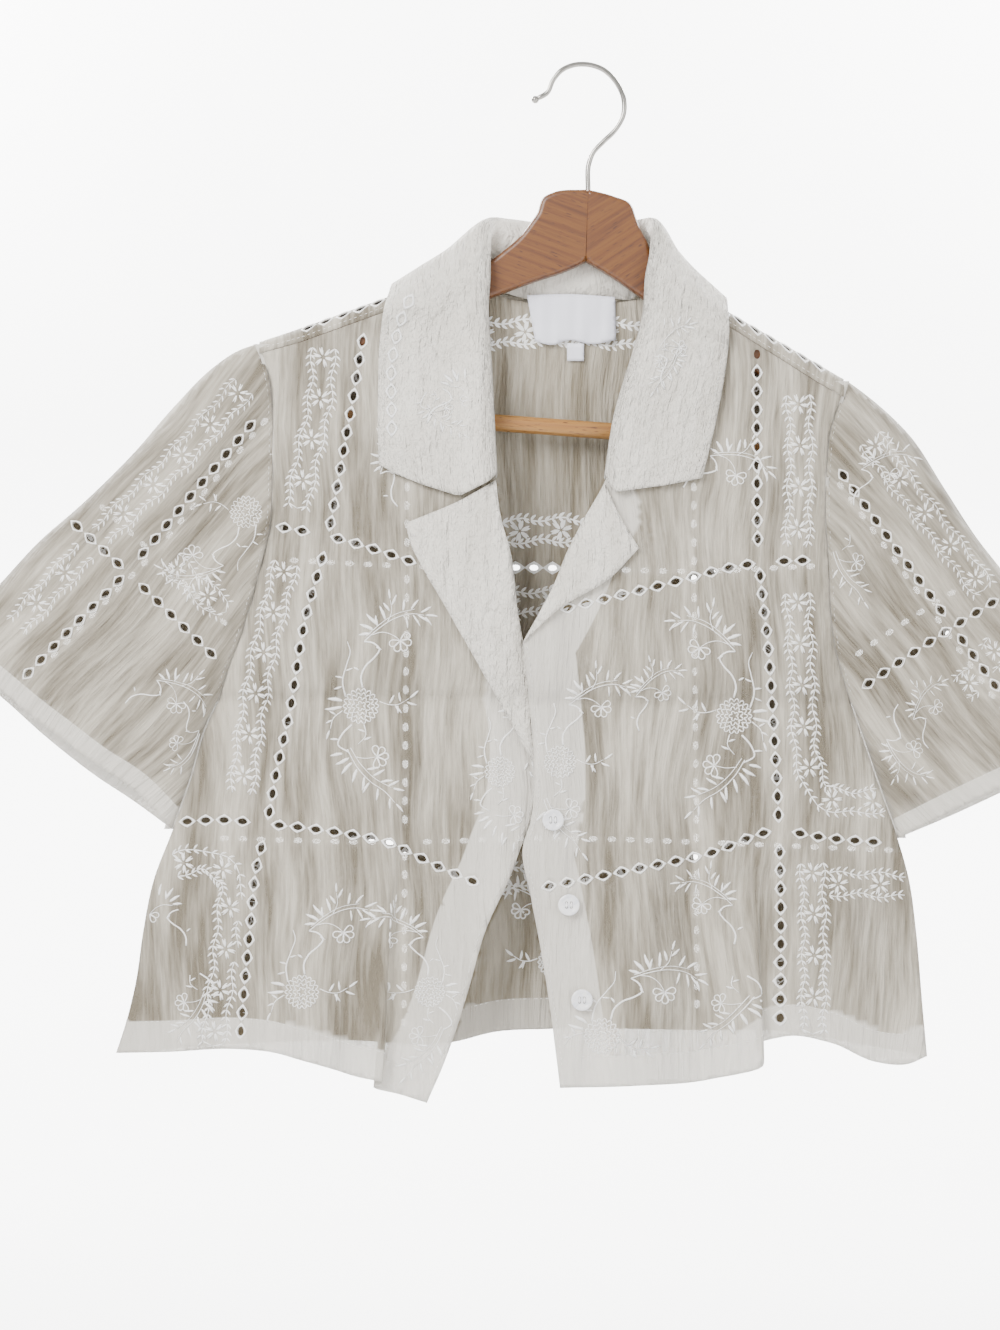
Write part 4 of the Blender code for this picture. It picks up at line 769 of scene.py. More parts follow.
def eyelet_places(ladder, closed, others):
    """Centres and directions of the eyelets of a ladder, none at a crossing or an edge."""
    own = settings()
    pitch = own.eyelet_pitch * 1000
    line = smoothed(ladder, 2)
    cum = run_length(line)
    at = np.arange(pitch / 2, cum[-1], pitch)
    centre, ahead = points_at(line, cum, at), points_at(line, cum, at + 1)
    keep = kept(centre, closed, CLEAR_OF_EDGE)
    for other in others:
        keep &= distance(centre, other) > pitch * 0.45
    run = ahead[keep] - centre[keep]
    run /= np.maximum(np.linalg.norm(run, axis=1), 1e-6)[:, None]
    return centre[keep], run


# A pointed oval, as shares of its half length and half width.
OVAL = np.array([(math.copysign(abs(math.cos(a)) ** 0.85, math.cos(a)), math.sin(a) * 0.96)
                 for a in np.arange(12) * math.pi / 6])


def ovals(centre, run, length, width):
    """Pointed ovals, one a row: cosine along the run and sine across it."""
    side = np.column_stack([-run[:, 1], run[:, 0]])
    return (centre[:, None] + OVAL[None, :, :1] * run[:, None] * length / 2
            + OVAL[None, :, 1:] * side[:, None] * width / 2)


def cut_cloth(name, edges, place, outward, ladders=(), rows=(), step=3.2, doubled=(),
              finish=None, thick=SINGLE, shade=None, grain=(0.0, 1.0)):
    """A sheet laid out flat, with its eyelets cut out, meshed evenly and put in its place.

    The flat points are a grid of x and z; place(x, z) gives each its depth."""
    ring, closed = ring_of(edges)
    centres, runs = [np.zeros((0, 2))], [np.zeros((0, 2))]
    lines = [smoothed(ladder, 4) for ladder in ladders]
    for i, ladder in enumerate(ladders):
        others = lines[:i] + ([] if i else lines[1:])
        c, r = eyelet_places(ladder, closed, others)
        centres.append(c)
        runs.append(r)
    centre, run = np.vstack(centres), np.vstack(runs)
    own = settings()
    holes = ovals(centre, run, own.eyelet_length * 1000, own.eyelet_width * 1000)
    low, high = ring.min(0), ring.max(0)
    gx, gz = np.meshgrid(np.arange(low[0], high[0], step), np.arange(low[1], high[1], step))
    gx = gx + (np.arange(len(gx)) % 2)[:, None] * step / 2
    points = np.column_stack([gx.ravel(), gz.ravel()])
    points = points[inside(points, closed)]
    points = points[distance(points, closed) > step * 0.45]
    for row in rows:
        points = points[distance(points, row) > step * 0.45]
    inner = [r[inside(r, closed) & (distance(r, closed) > 1.2)] for r in rows]
    if len(centre):
        gap = np.linalg.norm(points[:, None] - centre[None], axis=2).min(1)
        room = own.eyelet_length * 1000 * ROOM_ROUND_HOLE
        points = points[gap > room]
        inner = [r[np.linalg.norm(r[:, None] - centre[None], axis=2).min(1) > room]
                 for r in inner]
    flat = np.vstack([ring] + list(holes) + inner + [points])
    out = delaunay_2d_cdt(flat.tolist(), ring_edges([ring] + list(holes)), [], 0, 1e-4)
    flat = np.array([tuple(v) for v in out[0]])
    tris = np.array([f for f in out[2] if len(f) == 3])
    middle = flat[tris].mean(1)
    good = inside(middle, closed)
    if len(centre):
        gap = middle[:, None] - centre[None]
        along = np.abs((gap * run).sum(2)) / (own.eyelet_length * 500)
        beside = np.abs(gap[..., 0] * -run[:, 1] + gap[..., 1] * run[:, 0])
        beside /= own.eyelet_width * 500
        good &= (np.hypot(along, beside) > 0.93).all(1)
    tris = tris[good]
    turn = twice_area(flat, tris)
    tris = tris[np.abs(turn) > 1e-4]
    turn = turn[np.abs(turn) > 1e-4]
    tris = np.where((turn * outward)[:, None] < 0, tris[:, ::-1], tris)
    used = np.unique(tris)
    index = np.full(len(flat), -1)
    index[used] = np.arange(len(used))
    flat, tris = flat[used], index[tris]
    layers = np.zeros(len(flat))
    for line, width in doubled:
        layers = np.maximum(layers, distance(flat, line) < width + 0.1)
    uv = np.column_stack([flat @ (grain[1], -grain[0]), flat @ grain]) / 100
    obj = mesh_object(name, placed(place, flat), tris, finish or cloth("sheer"), uv, layers,
                      shade=shade(flat) if shade else None)
    return wall(obj, thick), centre, run


class Threads:
    """Stitches collected in the laid-out cloth, then sewn on it as one raised mesh."""

    def __init__(self, closed=None, clear=1.2):
        self.flat, self.height, self.faces, self.uv, self.count = [], [], [], [], 0
        self.smooth, self.closed, self.clear = [], closed, clear

    def add(self, flat, height, top, under, uv):
        """flat is (shapes, points, 2); height and uv are one a point; faces index a shape.

        The faces under a stitch stay flat.  A shape that isn't wholly inside the piece's
        edge is left out."""
        if self.closed is not None:
            all_points = flat.reshape(-1, 2)
            good = inside(all_points, self.closed)
            good[good] = distance(all_points[good], self.closed[::4]) > self.clear
            flat = flat[good.reshape(flat.shape[:2]).all(1)]
        number, points = flat.shape[:2]
        self.flat.append(flat.reshape(-1, 2))
        self.height.append(np.broadcast_to(height, (number, points)).ravel())
        self.uv.append(np.broadcast_to(uv, (number, points, 2)).reshape(-1, 2))
        shift = self.count + np.arange(number)[:, None, None] * points
        self.faces.append((np.asarray(top + under)[None] + shift).reshape(-1, 3))
        self.smooth.append(np.tile(np.arange(len(top + under)) < len(top), number))
        self.count += number * points

    def leaves(self, at, angle, length, width, bend=0.0, high=1.0):
        """Leaves: half width is a skewed sine of the share s along a slightly bent midrib."""
        at = np.atleast_2d(at)
        angle, length, width, bend = (np.broadcast_to(np.asarray(v, float), len(at))[:, None]
                                      for v in (angle, length, width, bend))
        s = np.array((0, 0.2, 0.2, 0.2, 0.5, 0.5, 0.5, 0.8, 0.8, 0.8, 1.0))[None]
        side = np.array((0, 1, 0, -1, 1, 0, -1, 1, 0, -1, 0))[None]
        half = width / 2 * np.sin(math.pi * s ** 0.85) ** 0.8
        turn = angle + bend * (s - 0.5)
        mid = angle + bend * (s / 2 - 0.5)
        x = at[:, :1] + s * length * np.cos(mid) - side * half * np.sin(turn)
        z = at[:, 1:] + s * length * np.sin(mid) + side * half * np.cos(turn)
        crown = np.array((0, 0, 1, 0, 0, 1.15, 0, 0, 0.9, 0, 0))
        top = [(0, 3, 2), (0, 2, 1), (10, 7, 8), (10, 8, 9)]
        for k in (1, 4):
            top += [(k, k + 1, k + 4), (k, k + 4, k + 3),
                    (k + 1, k + 2, k + 5), (k + 1, k + 5, k + 4)]
        under = [(0, 1, 3), (10, 9, 7)]
        for k in (1, 4):
            under += [(k, k + 3, k + 5), (k, k + 5, k + 2)]
        tall = settings().stitch_height * 1000 * high
        low = -0.65 * tall
        self.add(np.stack([x, z], 2), low + crown * (tall - low), top, under,
                 np.column_stack([s[0] * 4, side[0]]))

    def ribbons(self, paths, width, high=0.8):
        """Rounded cords along paths (number, stations, 2); width may taper by station."""
        paths = np.asarray(paths, float)
        number, stations = paths.shape[:2]
        run = np.gradient(paths, axis=1)
        run /= np.maximum(np.linalg.norm(run, axis=2), 1e-9)[..., None]
        side = np.stack([-run[..., 1], run[..., 0]], 2)
        half = np.broadcast_to(width, (number, stations))[..., None] / 2
        flat = np.stack([paths + side * half, paths, paths - side * half], 2)
        tall = settings().stitch_height * 1000 * high
        height = np.tile((-0.65 * tall, tall, -0.65 * tall), stations)
        top, under = [], [(0, 2, 1), (3 * stations - 3, 3 * stations - 2, 3 * stations - 1)]
        for i in range(stations - 1):
            a, b = 3 * i, 3 * i + 3
            top += [(a, a + 1, b + 1), (a, b + 1, b), (a + 1, a + 2, b + 2),
                    (a + 1, b + 2, b + 1)]
            under += [(a, b, b + 2), (a, b + 2, a + 2)]
        along = np.repeat(np.arange(stations) / 2, 3)
        uv = np.column_stack([along, np.tile((1, 0, -1), stations)])
        self.add(flat.reshape(number, 3 * stations, 2), height, top, under, uv)

    def stem(self, points, width, taper=1.0, high=0.8):
        """One cord along a smooth line."""
        line = smoothed(points, 2.0)
        self.ribbons(line[None], np.linspace(width, width * taper, len(line))[None], high)

    def rims(self, centre, run):
        """Satin rims of eyelets: a ring from the hole out to a diamond, crowned between."""
        if not len(centre):
            return
        own = settings()
        length, width, rim = (1000 * v for v in (own.eyelet_length, own.eyelet_width,
                                                 own.eyelet_rim))
        hole = ovals(centre, run, length - 0.5, width - 0.5)
        side = np.column_stack([-run[:, 1], run[:, 0]])
        a = np.arange(12) * math.pi / 6
        reach = 1 / (np.abs(np.cos(a)) + np.abs(np.sin(a))) ** 0.75
        edge = np.column_stack([np.cos(a) * reach * (own.eyelet_pitch * 500 + 0.2),
                                np.sin(a) * reach * (width + 2 * rim) / 2])
        outer = centre[:, None] + edge[None, :, :1] * run[:, None] + edge[None, :, 1:] * side[:, None]
        flat = np.concatenate([hole, hole * 0.45 + outer * 0.55, outer], 1)
        tall = own.stitch_height * 1000
        height = np.repeat((-0.65 * tall, tall, -0.65 * tall), 12)
        top, under = [], []
        for k in range(12):
            n = (k + 1) % 12
            for p, q, made in ((0, 12, top), (12, 24, top), (24, 0, under)):
                made += [(p + k, q + k, q + n), (p + k, q + n, p + n)]
        uv = np.column_stack([np.tile(np.arange(12) * 0.7, 3), np.repeat((0, 1, 2), 12)])
        self.add(flat, height, top, under, uv)

    def sew(self, name, place, outward, finish, lift=0.0):
        flat, height = np.vstack(self.flat), np.concatenate(self.height)
        faces = np.vstack(self.faces)
        verts = placed(place, flat, height + lift, outward)
        if outward < 0:
            faces = faces[:, ::-1]
        obj = mesh_object(name, verts, faces, finish, np.vstack(self.uv),
                          smooth=np.concatenate(self.smooth))
        return obj


# Embroidery.

def beside_line(line, away):
    """The same line moved sideways."""
    run = np.gradient(line, axis=0)
    run /= np.linalg.norm(run, axis=1)[:, None]
    return line + np.column_stack([-run[:, 1], run[:, 0]]) * away


def inset(line, closed, away):
    """The line moved sideways into its piece."""
    moved = beside_line(line, away)
    return moved if inside(moved[len(moved) // 2:][:1], closed)[0] else beside_line(line, -away)


def garland(threads, line, closed, avoid):
    """A band of star flowers between twin vines, clear of the ladders.

    Flowers sit every FLOWER_PITCH; each vine bows by a cosine between them."""
    line = smoothed(line, 2)
    cum = run_length(line)

    def at(s, off):
        run = points_at(line, cum, s + 0.5) - points_at(line, cum, s - 0.5)
        run = run / np.maximum(np.linalg.norm(run, axis=1), 1e-6)[:, None]
        side = np.column_stack([-run[:, 1], run[:, 0]]) * np.broadcast_to(off, len(s))[:, None]
        return points_at(line, cum, s) + side, np.arctan2(run[:, 1], run[:, 0])

    def bow(s):
        return 7.0 + 1.4 * np.cos(2 * math.pi * (s - 8.0) / FLOWER_PITCH)

    def clear(points, room):
        good = kept(points, closed, room)
        for other in avoid:
            good &= distance(points, other) > room + 4
        return good

    flower = np.arange(8.0, cum[-1] - 4, FLOWER_PITCH)
    centre, run = at(flower, 0.0)
    good = clear(centre, 5)
    centre, run = centre[good], run[good]
    for k in range(6):
        a = run + 0.3 + k * math.pi / 3
        start = centre + np.column_stack([np.cos(a), np.sin(a)]) * 0.8
        threads.leaves(start, a + 0.13, 6.6, 2.0)
        threads.leaves(start, a - 0.13, 6.6, 2.0)
    for side in (-1, 1):
        s = np.arange(2.0, cum[-1] - 1, LEAF_PITCH)
        p, run = at(s, side * bow(s))
        good = clear(p, 3)
        q, _ = at(s + LEAF_PITCH, side * bow(s + LEAF_PITCH))
        threads.ribbons(np.stack([p, (p + q) / 2, q], 1)[good], 1.0, 0.6)
        for turn in (0.72, -0.72):
            threads.leaves(p[good], run[good] + turn, 5.0, 1.9, bend=-turn * 0.5)


def loop_flower(threads, x, z, angle, size=1.0):
    """Five petals outlined by a cord: each outline is a sine loop out and back."""
    t = np.linspace(0, 1, 13)
    for k in range(5):
        a = angle + (k - 2) * 0.86
        along = 7.4 * size * np.sin(math.pi * t)
        wide = 2.1 * size * np.sin(2 * math.pi * t)
        path = np.column_stack([x + along * math.cos(a) - wide * math.sin(a),
                                z + along * math.sin(a) + wide * math.cos(a)])
        threads.ribbons(path[None], 1.25 * size, 0.8)


def medallion(threads, x, z, size=1.0):
    """A round flower of scales in rings: each scale is a short arc, a half sine high."""
    t = np.linspace(-1, 1, 5)
    for r, number, tall in ((1.6, 5, 1.7), (4.0, 9, 2.2), (6.6, 14, 2.3), (9.2, 18, 2.4)):
        a = (np.arange(number) + 0.5 * (number % 2)) * 2 * math.pi / number
        angle = a[:, None] + t[None] * math.pi / number
        radius = (r + tall * np.cos(t * math.pi / 2)[None]) * size
        threads.ribbons(np.stack([x + radius * np.cos(angle), z + radius * np.sin(angle)], 2),
                        1.2 * size, 0.8)


def spray(threads, x, z, turn=0.0, flip=1, size=1.0, parts="umd"):
    """A bough: u is its upper branch, m the round flower, d the lower branch."""
    c, s = math.cos(math.radians(turn)), math.sin(math.radians(turn))

    def put(points):
        p = np.atleast_2d(np.asarray(points, float)) * size
        px = p[:, 0] * flip
        return np.column_stack([x + px * c - p[:, 1] * s, z + px * s + p[:, 1] * c])

    def aim(degrees):
        a = np.radians(np.asarray(degrees, float))
        a = a if flip > 0 else math.pi - a
        return a + math.radians(turn)

    if "m" in parts:
        medallion(threads, *put((0, 0))[0], size)
    for part, points, width, taper in SPRAY_STEMS:
        if part in parts:
            threads.stem(put(points), width * size, taper, 0.9)
    for part, px, pz, angle, length, width, bend in SPRAY_LEAVES:
        if part in parts:
            threads.leaves(put((px, pz)), aim(angle), length * size, width * size, bend * flip)
    for part, px, pz, angle in SPRAY_FLOWERS:
        if part in parts:
            loop_flower(threads, *put((px, pz))[0], float(aim(angle)), size)


def run_of_stitches(threads, line, length=2.6, pitch=3.6, width=0.5):
    """Topstitching: short stitches end to end along a line."""
    line = smoothed(line, 2)
    cum = run_length(line)
    s = np.arange(pitch / 2, cum[-1] - length, pitch)
    a = points_at(line, cum, s)
    run = points_at(line, cum, s + length) - a
    threads.leaves(a, np.arctan2(run[:, 1], run[:, 0]), length, width, high=0.45)


# Finishes.

def linear(code):
    """An sRGB hex colour as linear red, green and blue."""
    value = np.array([int(code[i:i + 2], 16) for i in (1, 3, 5)]) / 255
    return tuple(float(v) for v in np.where(value <= 0.04045, value / 12.92,
                                            ((value + 0.055) / 1.055) ** 2.4))


def node(tree, kind, inputs=None, **values):
    """Adds a node, sets its own values, and fills or links its inputs."""
    made = tree.nodes.new(kind)
    for name, value in values.items():
        setattr(made, name, value)
    for key, value in (inputs or {}).items():
        if isinstance(value, bpy.types.NodeSocket):
            tree.links.new(value, made.inputs[key])
        else:
            made.inputs[key].default_value = value
    return made


def finish_tree(name, **principled):
    """A new material with its Principled shader, uniform values on its own sockets."""
    mat = bpy.data.materials.new(name)
    mat.use_nodes = True
    shader = mat.node_tree.nodes["Principled BSDF"]
    for key, value in principled.items():
        shader.inputs[key.replace("_", " ")].default_value = value
    return mat, mat.node_tree, shader


def ramp(tree, value, stops):
    """A colour ramp over (place, hex) stops."""
    made = node(tree, "ShaderNodeValToRGB", {"Fac": value})
    line = made.color_ramp
    while len(line.elements) < len(stops):
        line.elements.new(0.5)
    for element, (at, code) in zip(line.elements, stops):
        element.position = at
        element.color = (*linear(code), 1)
    return made


def cloth(kind):
    """Ramie-silk voile (sheer) or the same cloth doubled (double): plain woven, washed.

    Slub threads give short light streaks both ways, washing gives lengthwise crinkles,
    and single cloth lets about a third of the light straight through."""
    own = settings()
    found = bpy.data.materials.get("woven_voile_" + kind)
    if found:
        return found
    mat, tree, shader = finish_tree("woven_voile_" + kind, Roughness=0.62, Sheen_Weight=0.25,
                                    Sheen_Roughness=0.5, IOR=1.46, Specular_IOR_Level=0.35)
    uv = node(tree, "ShaderNodeUVMap", uv_map="cloth").outputs["UV"]

    # the streaks wander by some 5 mm either way over 130 mm
    drift = node(tree, "ShaderNodeTexNoise", {"Vector": uv, "Scale": 0.8, "Detail": 1.0})
    shift = node(tree, "ShaderNodeVectorMath", {0: drift.outputs["Color"], 1: (0.5, 0.5, 0.5)},
                 operation="SUBTRACT")
    wavy = node(tree, "ShaderNodeVectorMath", {0: shift.outputs[0], 1: (0.26, 0.1, 0.0), 2: uv},
                operation="MULTIPLY_ADD").outputs[0]

    def streak(across_mm, along_mm, detail, turn=0.0):
        """Noise drawn out along the cloth; UV is in units of 100 mm."""
        scale = (100 / across_mm, 100 / along_mm, 1)
        place = node(tree, "ShaderNodeMapping", {"Vector": wavy, "Scale": scale,
                                                 "Rotation": (0, 0, turn)})
        return node(tree, "ShaderNodeTexNoise", {"Vector": place.outputs[0], "Scale": 1.0,
                                                 "Detail": detail, "Roughness": 0.6}).outputs[0]

    broad = streak(24, 170, 2)
    crinkle = streak(3.2, 44, 4)
    slub_down = streak(1.0, 26, 1)
    slub_across = streak(22, 0.9, 1)
    body = node(tree, "ShaderNodeMix", {"Factor": 0.4, "A": broad, "B": crinkle},
                data_type="FLOAT").outputs[0]
    # painted shade and light: the colour runs from the shaded tone to the lit tone with the broad
    # streaks and the crinkles. This is partly uneven density of the cloth, and partly painted shade
    # in the creases and painted light on the ridges.
    if kind == "sheer":
        stops = ((0.39, own.sheer_low), (0.61, own.sheer_high))
    else:
        stops = ((0.3, own.double_low), (0.7, own.double_high))
    line = node(tree, "ShaderNodeMapRange", {"Value": body, "From Min": stops[0][0],
                                             "From Max": stops[1][0]}).outputs[0]
    colour = node(tree, "ShaderNodeMix", {"Factor": line, "A": (*stops[0][1], 1),
                                          "B": (*stops[1][1], 1)}, data_type="RGBA")
    colour_out = colour.outputs[2]
    if kind == "sheer":
        layers = node(tree, "ShaderNodeAttribute", attribute_name="layers").outputs["Fac"]
        share = node(tree, "ShaderNodeMath", {0: layers, 1: 0.75}, operation="MULTIPLY")
        lighter = node(tree, "ShaderNodeMix", {"Factor": share.outputs[0], "A": colour_out,
                                               "B": (*own.double_high, 1)}, data_type="RGBA")
        # painted shade: the inner side of a layer behind another, which lies in deep shade, is
        # painted in the dark inside colour
        shade = node(tree, "ShaderNodeAttribute", attribute_name="shade").outputs["Fac"]
        facing = node(tree, "ShaderNodeSeparateXYZ", {
            "Vector": node(tree, "ShaderNodeNewGeometry").outputs["Normal"]}).outputs["Y"]
        within = node(tree, "ShaderNodeMath", {0: facing, 1: 0.0}, operation="LESS_THAN")
        depth = node(tree, "ShaderNodeMath", {0: shade, 1: within.outputs[0]},
                     operation="MULTIPLY")
        shaded = node(tree, "ShaderNodeMix", {"Factor": depth.outputs[0],
                                              "A": lighter.outputs[2],
                                              "B": (*own.inside, 1)}, data_type="RGBA")
        colour_out = shaded.outputs[2]
        # two surfaces a layer, so each lets the square root of the layer's light through
        weave = node(tree, "ShaderNodeMix", {"Factor": 0.35, "A": body, "B": slub_down},
                     data_type="FLOAT").outputs[0]
        dense = node(tree, "ShaderNodeMapRange", {
            "Value": weave, "From Min": 0.34, "From Max": 0.66,
            "To Min": own.cover - 0.14, "To Max": own.cover + 0.12}).outputs[0]
        doubled = node(tree, "ShaderNodeMix", {"Factor": layers, "A": dense, "B": 0.82},
                       data_type="FLOAT").outputs[0]
        # painted shade: where the inner side is painted dark, the cloth is also made nearly opaque,
        # so that no backdrop shows through the shade
        deep = node(tree, "ShaderNodeMapRange", {"Value": depth.outputs[0],
                                                 "From Max": 0.25}).outputs[0]
        alpha = node(tree, "ShaderNodeMix", {"Factor": deep, "A": doubled, "B": 0.96},
                     data_type="FLOAT").outputs[0]
        tree.links.new(alpha, shader.inputs["Alpha"])
    tree.links.new(colour_out, shader.inputs["Base Color"])
    threads = node(tree, "ShaderNodeMath", {0: slub_down, 1: slub_across}, operation="ADD")
    fine = node(tree, "ShaderNodeBump", {"Strength": 0.35, "Distance": 0.0006,
                                         "Height": threads.outputs[0]})
    deep = node(tree, "ShaderNodeBump", {"Strength": 0.9, "Distance": 0.003,
                                         "Height": crinkle, "Normal": fine.outputs[0]})
    normal = deep.outputs[0]
    if kind == "double":
        # short creases in all directions, as washing leaves on the stiffer collar
        rumple = streak(9, 14, 4, 0.5)
        normal = node(tree, "ShaderNodeBump", {"Strength": 1.0, "Distance": 0.006,
                                               "Height": rumple, "Normal": normal}).outputs[0]
    tree.links.new(normal, shader.inputs["Normal"])
    return mat


def thread():
    """Rayon embroidery thread in satin stitch: bright, with a soft shine across the stitches.

    The real threads are 0.3 mm apart; the ridges are drawn 0.8 mm apart so that they show."""
    found = bpy.data.materials.get("satin_stitch_thread")
    if found:
        return found
    mat, tree, shader = finish_tree("satin_stitch_thread", Roughness=0.42, Sheen_Weight=0.2,
                                    IOR=1.5, Specular_IOR_Level=0.5)
    uv = node(tree, "ShaderNodeUVMap", uv_map="cloth").outputs["UV"]
    lines = node(tree, "ShaderNodeTexWave", {"Vector": uv, "Scale": 1.6, "Distortion": 0.6},
                 wave_type="BANDS", bands_direction="X").outputs[1]
    place = node(tree, "ShaderNodeTexCoord").outputs["Object"]
    patch = node(tree, "ShaderNodeTexNoise", {"Vector": place, "Scale": 60.0, "Detail": 2.0})
    own = settings()
    colour = node(tree, "ShaderNodeMix", {"Factor": patch.outputs[0],
                                          "A": (*own.thread_low, 1),
                                          "B": (*own.thread_high, 1)}, data_type="RGBA")
    tree.links.new(colour.outputs[2], shader.inputs["Base Color"])
    bump = node(tree, "ShaderNodeBump", {"Strength": 0.35, "Distance": 0.0004, "Height": lines})
    tree.links.new(bump.outputs[0], shader.inputs["Normal"])
    return mat


def wood(name, stops, along, grain_mm):
    """Steamed beech, planed and waxed: long grain with short dark flecks.

    The grain runs along the piece; `along` turns it in the front view (degrees)."""
    mat, tree, shader = finish_tree(name, Roughness=0.42, IOR=1.5, Coat_Weight=0.12,
                                    Coat_Roughness=0.25)
    place = node(tree, "ShaderNodeTexCoord").outputs["Object"]
    turned = node(tree, "ShaderNodeMapping", {"Vector": place,
                                              "Rotation": (0, math.radians(along), 0)})
    long = node(tree, "ShaderNodeMapping", {"Vector": turned.outputs[0],
                                            "Scale": (10, 1000 / grain_mm, 1000 / grain_mm)})
    rings = node(tree, "ShaderNodeTexNoise", {"Vector": long.outputs[0], "Scale": 1.0,
                                              "Detail": 4.0, "Roughness": 0.55,
                                              "Distortion": 0.4}).outputs[0]
    fleck_place = node(tree, "ShaderNodeMapping", {"Vector": turned.outputs[0],
                                                   "Scale": (160, 1100, 1100)})
    fleck = node(tree, "ShaderNodeTexNoise", {"Vector": fleck_place.outputs[0], "Scale": 1.0,
                                              "Detail": 1.0}).outputs[0]
    colour = ramp(tree, rings, stops)
    dark = node(tree, "ShaderNodeMapRange", {"Value": fleck, "From Min": 0.62,
                                             "From Max": 0.74}).outputs[0]
    mixed = node(tree, "ShaderNodeMix", {"Factor": dark, "A": colour.outputs[0],
                                         "B": (*linear("#3F1F08"), 1)}, data_type="RGBA")
    tree.links.new(mixed.outputs[2], shader.inputs["Base Color"])
    bump = node(tree, "ShaderNodeBump", {"Strength": 0.25, "Distance": 0.0005, "Height": rings})
    tree.links.new(bump.outputs[0], shader.inputs["Normal"])
    return mat


def polished_steel():
    """Chromed steel wire, drawn: mirror-like, with faint marks along its surface."""
    mat, tree, shader = finish_tree("chromed_steel", Metallic=1.0, Roughness=0.16)
    place = node(tree, "ShaderNodeTexCoord").outputs["Object"]
    mark = node(tree, "ShaderNodeTexNoise", {"Vector": place, "Scale": 420.0, "Detail": 3.0})
    tone = node(tree, "ShaderNodeMix", {"Factor": mark.outputs[0], "A": (*linear("#77746F"), 1),
                                        "B": (*linear("#A3A09B"), 1)}, data_type="RGBA")
    tree.links.new(tone.outputs[2], shader.inputs["Base Color"])
    rough = node(tree, "ShaderNodeMapRange", {"Value": mark.outputs[0], "To Min": 0.1,
                                              "To Max": 0.28}).outputs[0]
    tree.links.new(rough, shader.inputs["Roughness"])
    return mat


def shell():
    """Polished shell, turned: cool white with soft cloudy bands under a clear shine."""
    found = bpy.data.materials.get("turned_shell")
    if found:
        return found
    mat, tree, shader = finish_tree("turned_shell", Roughness=0.22, IOR=1.53, Coat_Weight=0.3,
                                    Coat_Roughness=0.08)
    place = node(tree, "ShaderNodeTexCoord").outputs["Object"]
    cloud = node(tree, "ShaderNodeTexNoise", {"Vector": place, "Scale": 160.0, "Detail": 3.0,
                                              "Distortion": 1.5})
    tone = ramp(tree, cloud.outputs[0], ((0.3, "#D6D7DC"), (0.5, "#E9E8EA"), (0.7, "#F4F2EE")))
    tree.links.new(tone.outputs[0], shader.inputs["Base Color"])
    return mat


def ribbon():
    """Satin ribbon, woven: cool white, with ribs across it (real ones 0.3 mm, drawn 0.7)."""
    found = bpy.data.materials.get("satin_ribbon")
    if found:
        return found
    mat, tree, shader = finish_tree("satin_ribbon", Roughness=0.45, Sheen_Weight=0.3)
    uv = node(tree, "ShaderNodeUVMap", uv_map="cloth").outputs["UV"]
    ribs = node(tree, "ShaderNodeTexWave", {"Vector": uv, "Scale": 45.0, "Distortion": 0.3},
                wave_type="BANDS", bands_direction="Y").outputs[1]
    tone = ramp(tree, ribs, ((0.0, "#D8D8E2"), (1.0, "#E8E8F0")))
    tree.links.new(tone.outputs[0], shader.inputs["Base Color"])
    bump = node(tree, "ShaderNodeBump", {"Strength": 0.2, "Distance": 0.0002, "Height": ribs})
    tree.links.new(bump.outputs[0], shader.inputs["Normal"])
    return mat


# Pieces.

def shoulder(side, front):
    """Seam between the shoulder strip and a front panel, outer end first."""
    neck = FRONT_RIGHT["neck"][0] if side == "right" else FRONT_LEFT["neck"][0]
    away = 1.5 if side == "right" else -1.5
    x = np.linspace(SLEEVES[side][1][0][0] + away, neck[0], 50)
    if front:
        return np.column_stack([x, seam_z(x) - GAP])
    extra = by_x(x, SEAM_BELOW_AT, SEAM_BELOW)
    return np.column_stack([x, ridge(x) + (math.pi - 1) * shoulder_round(x) + extra])


def fold_rows(row):
    """Lines of points across a turned fold, close enough to keep it round."""
    x_top, z_top, x_hem, z_hem, _, _, half = row
    run = np.linspace(0.1, 0.99, 60)
    return [np.column_stack([x_top + (x_hem - x_top) * run + u * half,
                             z_top + (z_hem - z_top) * run]) for u in np.arange(-2.2, 2.3, 0.22)]


def embroider(name, table, closed, ladders, holes, place, outward, lift=0.0):
    """A panel's rims, garlands and sprays, sewn on it as one piece."""
    threads = Threads(closed)
    threads.rims(*holes)
    lines = [smoothed(ladder, 4) for ladder in ladders]
    for line in GARLANDS[table]:
        garland(threads, line, closed, lines)
    for row in SPRAYS[table]:
        spray(threads, *row)
    return threads.sew("embroidery_" + name, place, outward, thread(), lift=lift)


def front_edges(side):
    table = FRONT_RIGHT if side == "right" else FRONT_LEFT
    top = shoulder(side, True)
    neck = np.vstack([[top[-1]], table["neck"][1:]])
    return [top, smoothed(neck, 3.5), smoothed(table["front"], 3.5), smoothed(table["hem"], 3),
            smoothed(SLEEVES[side][2], 3.5)[::-1],
            np.vstack([smoothed(SLEEVES[side][1], 3.5)[:0:-1], [top[0]]])]


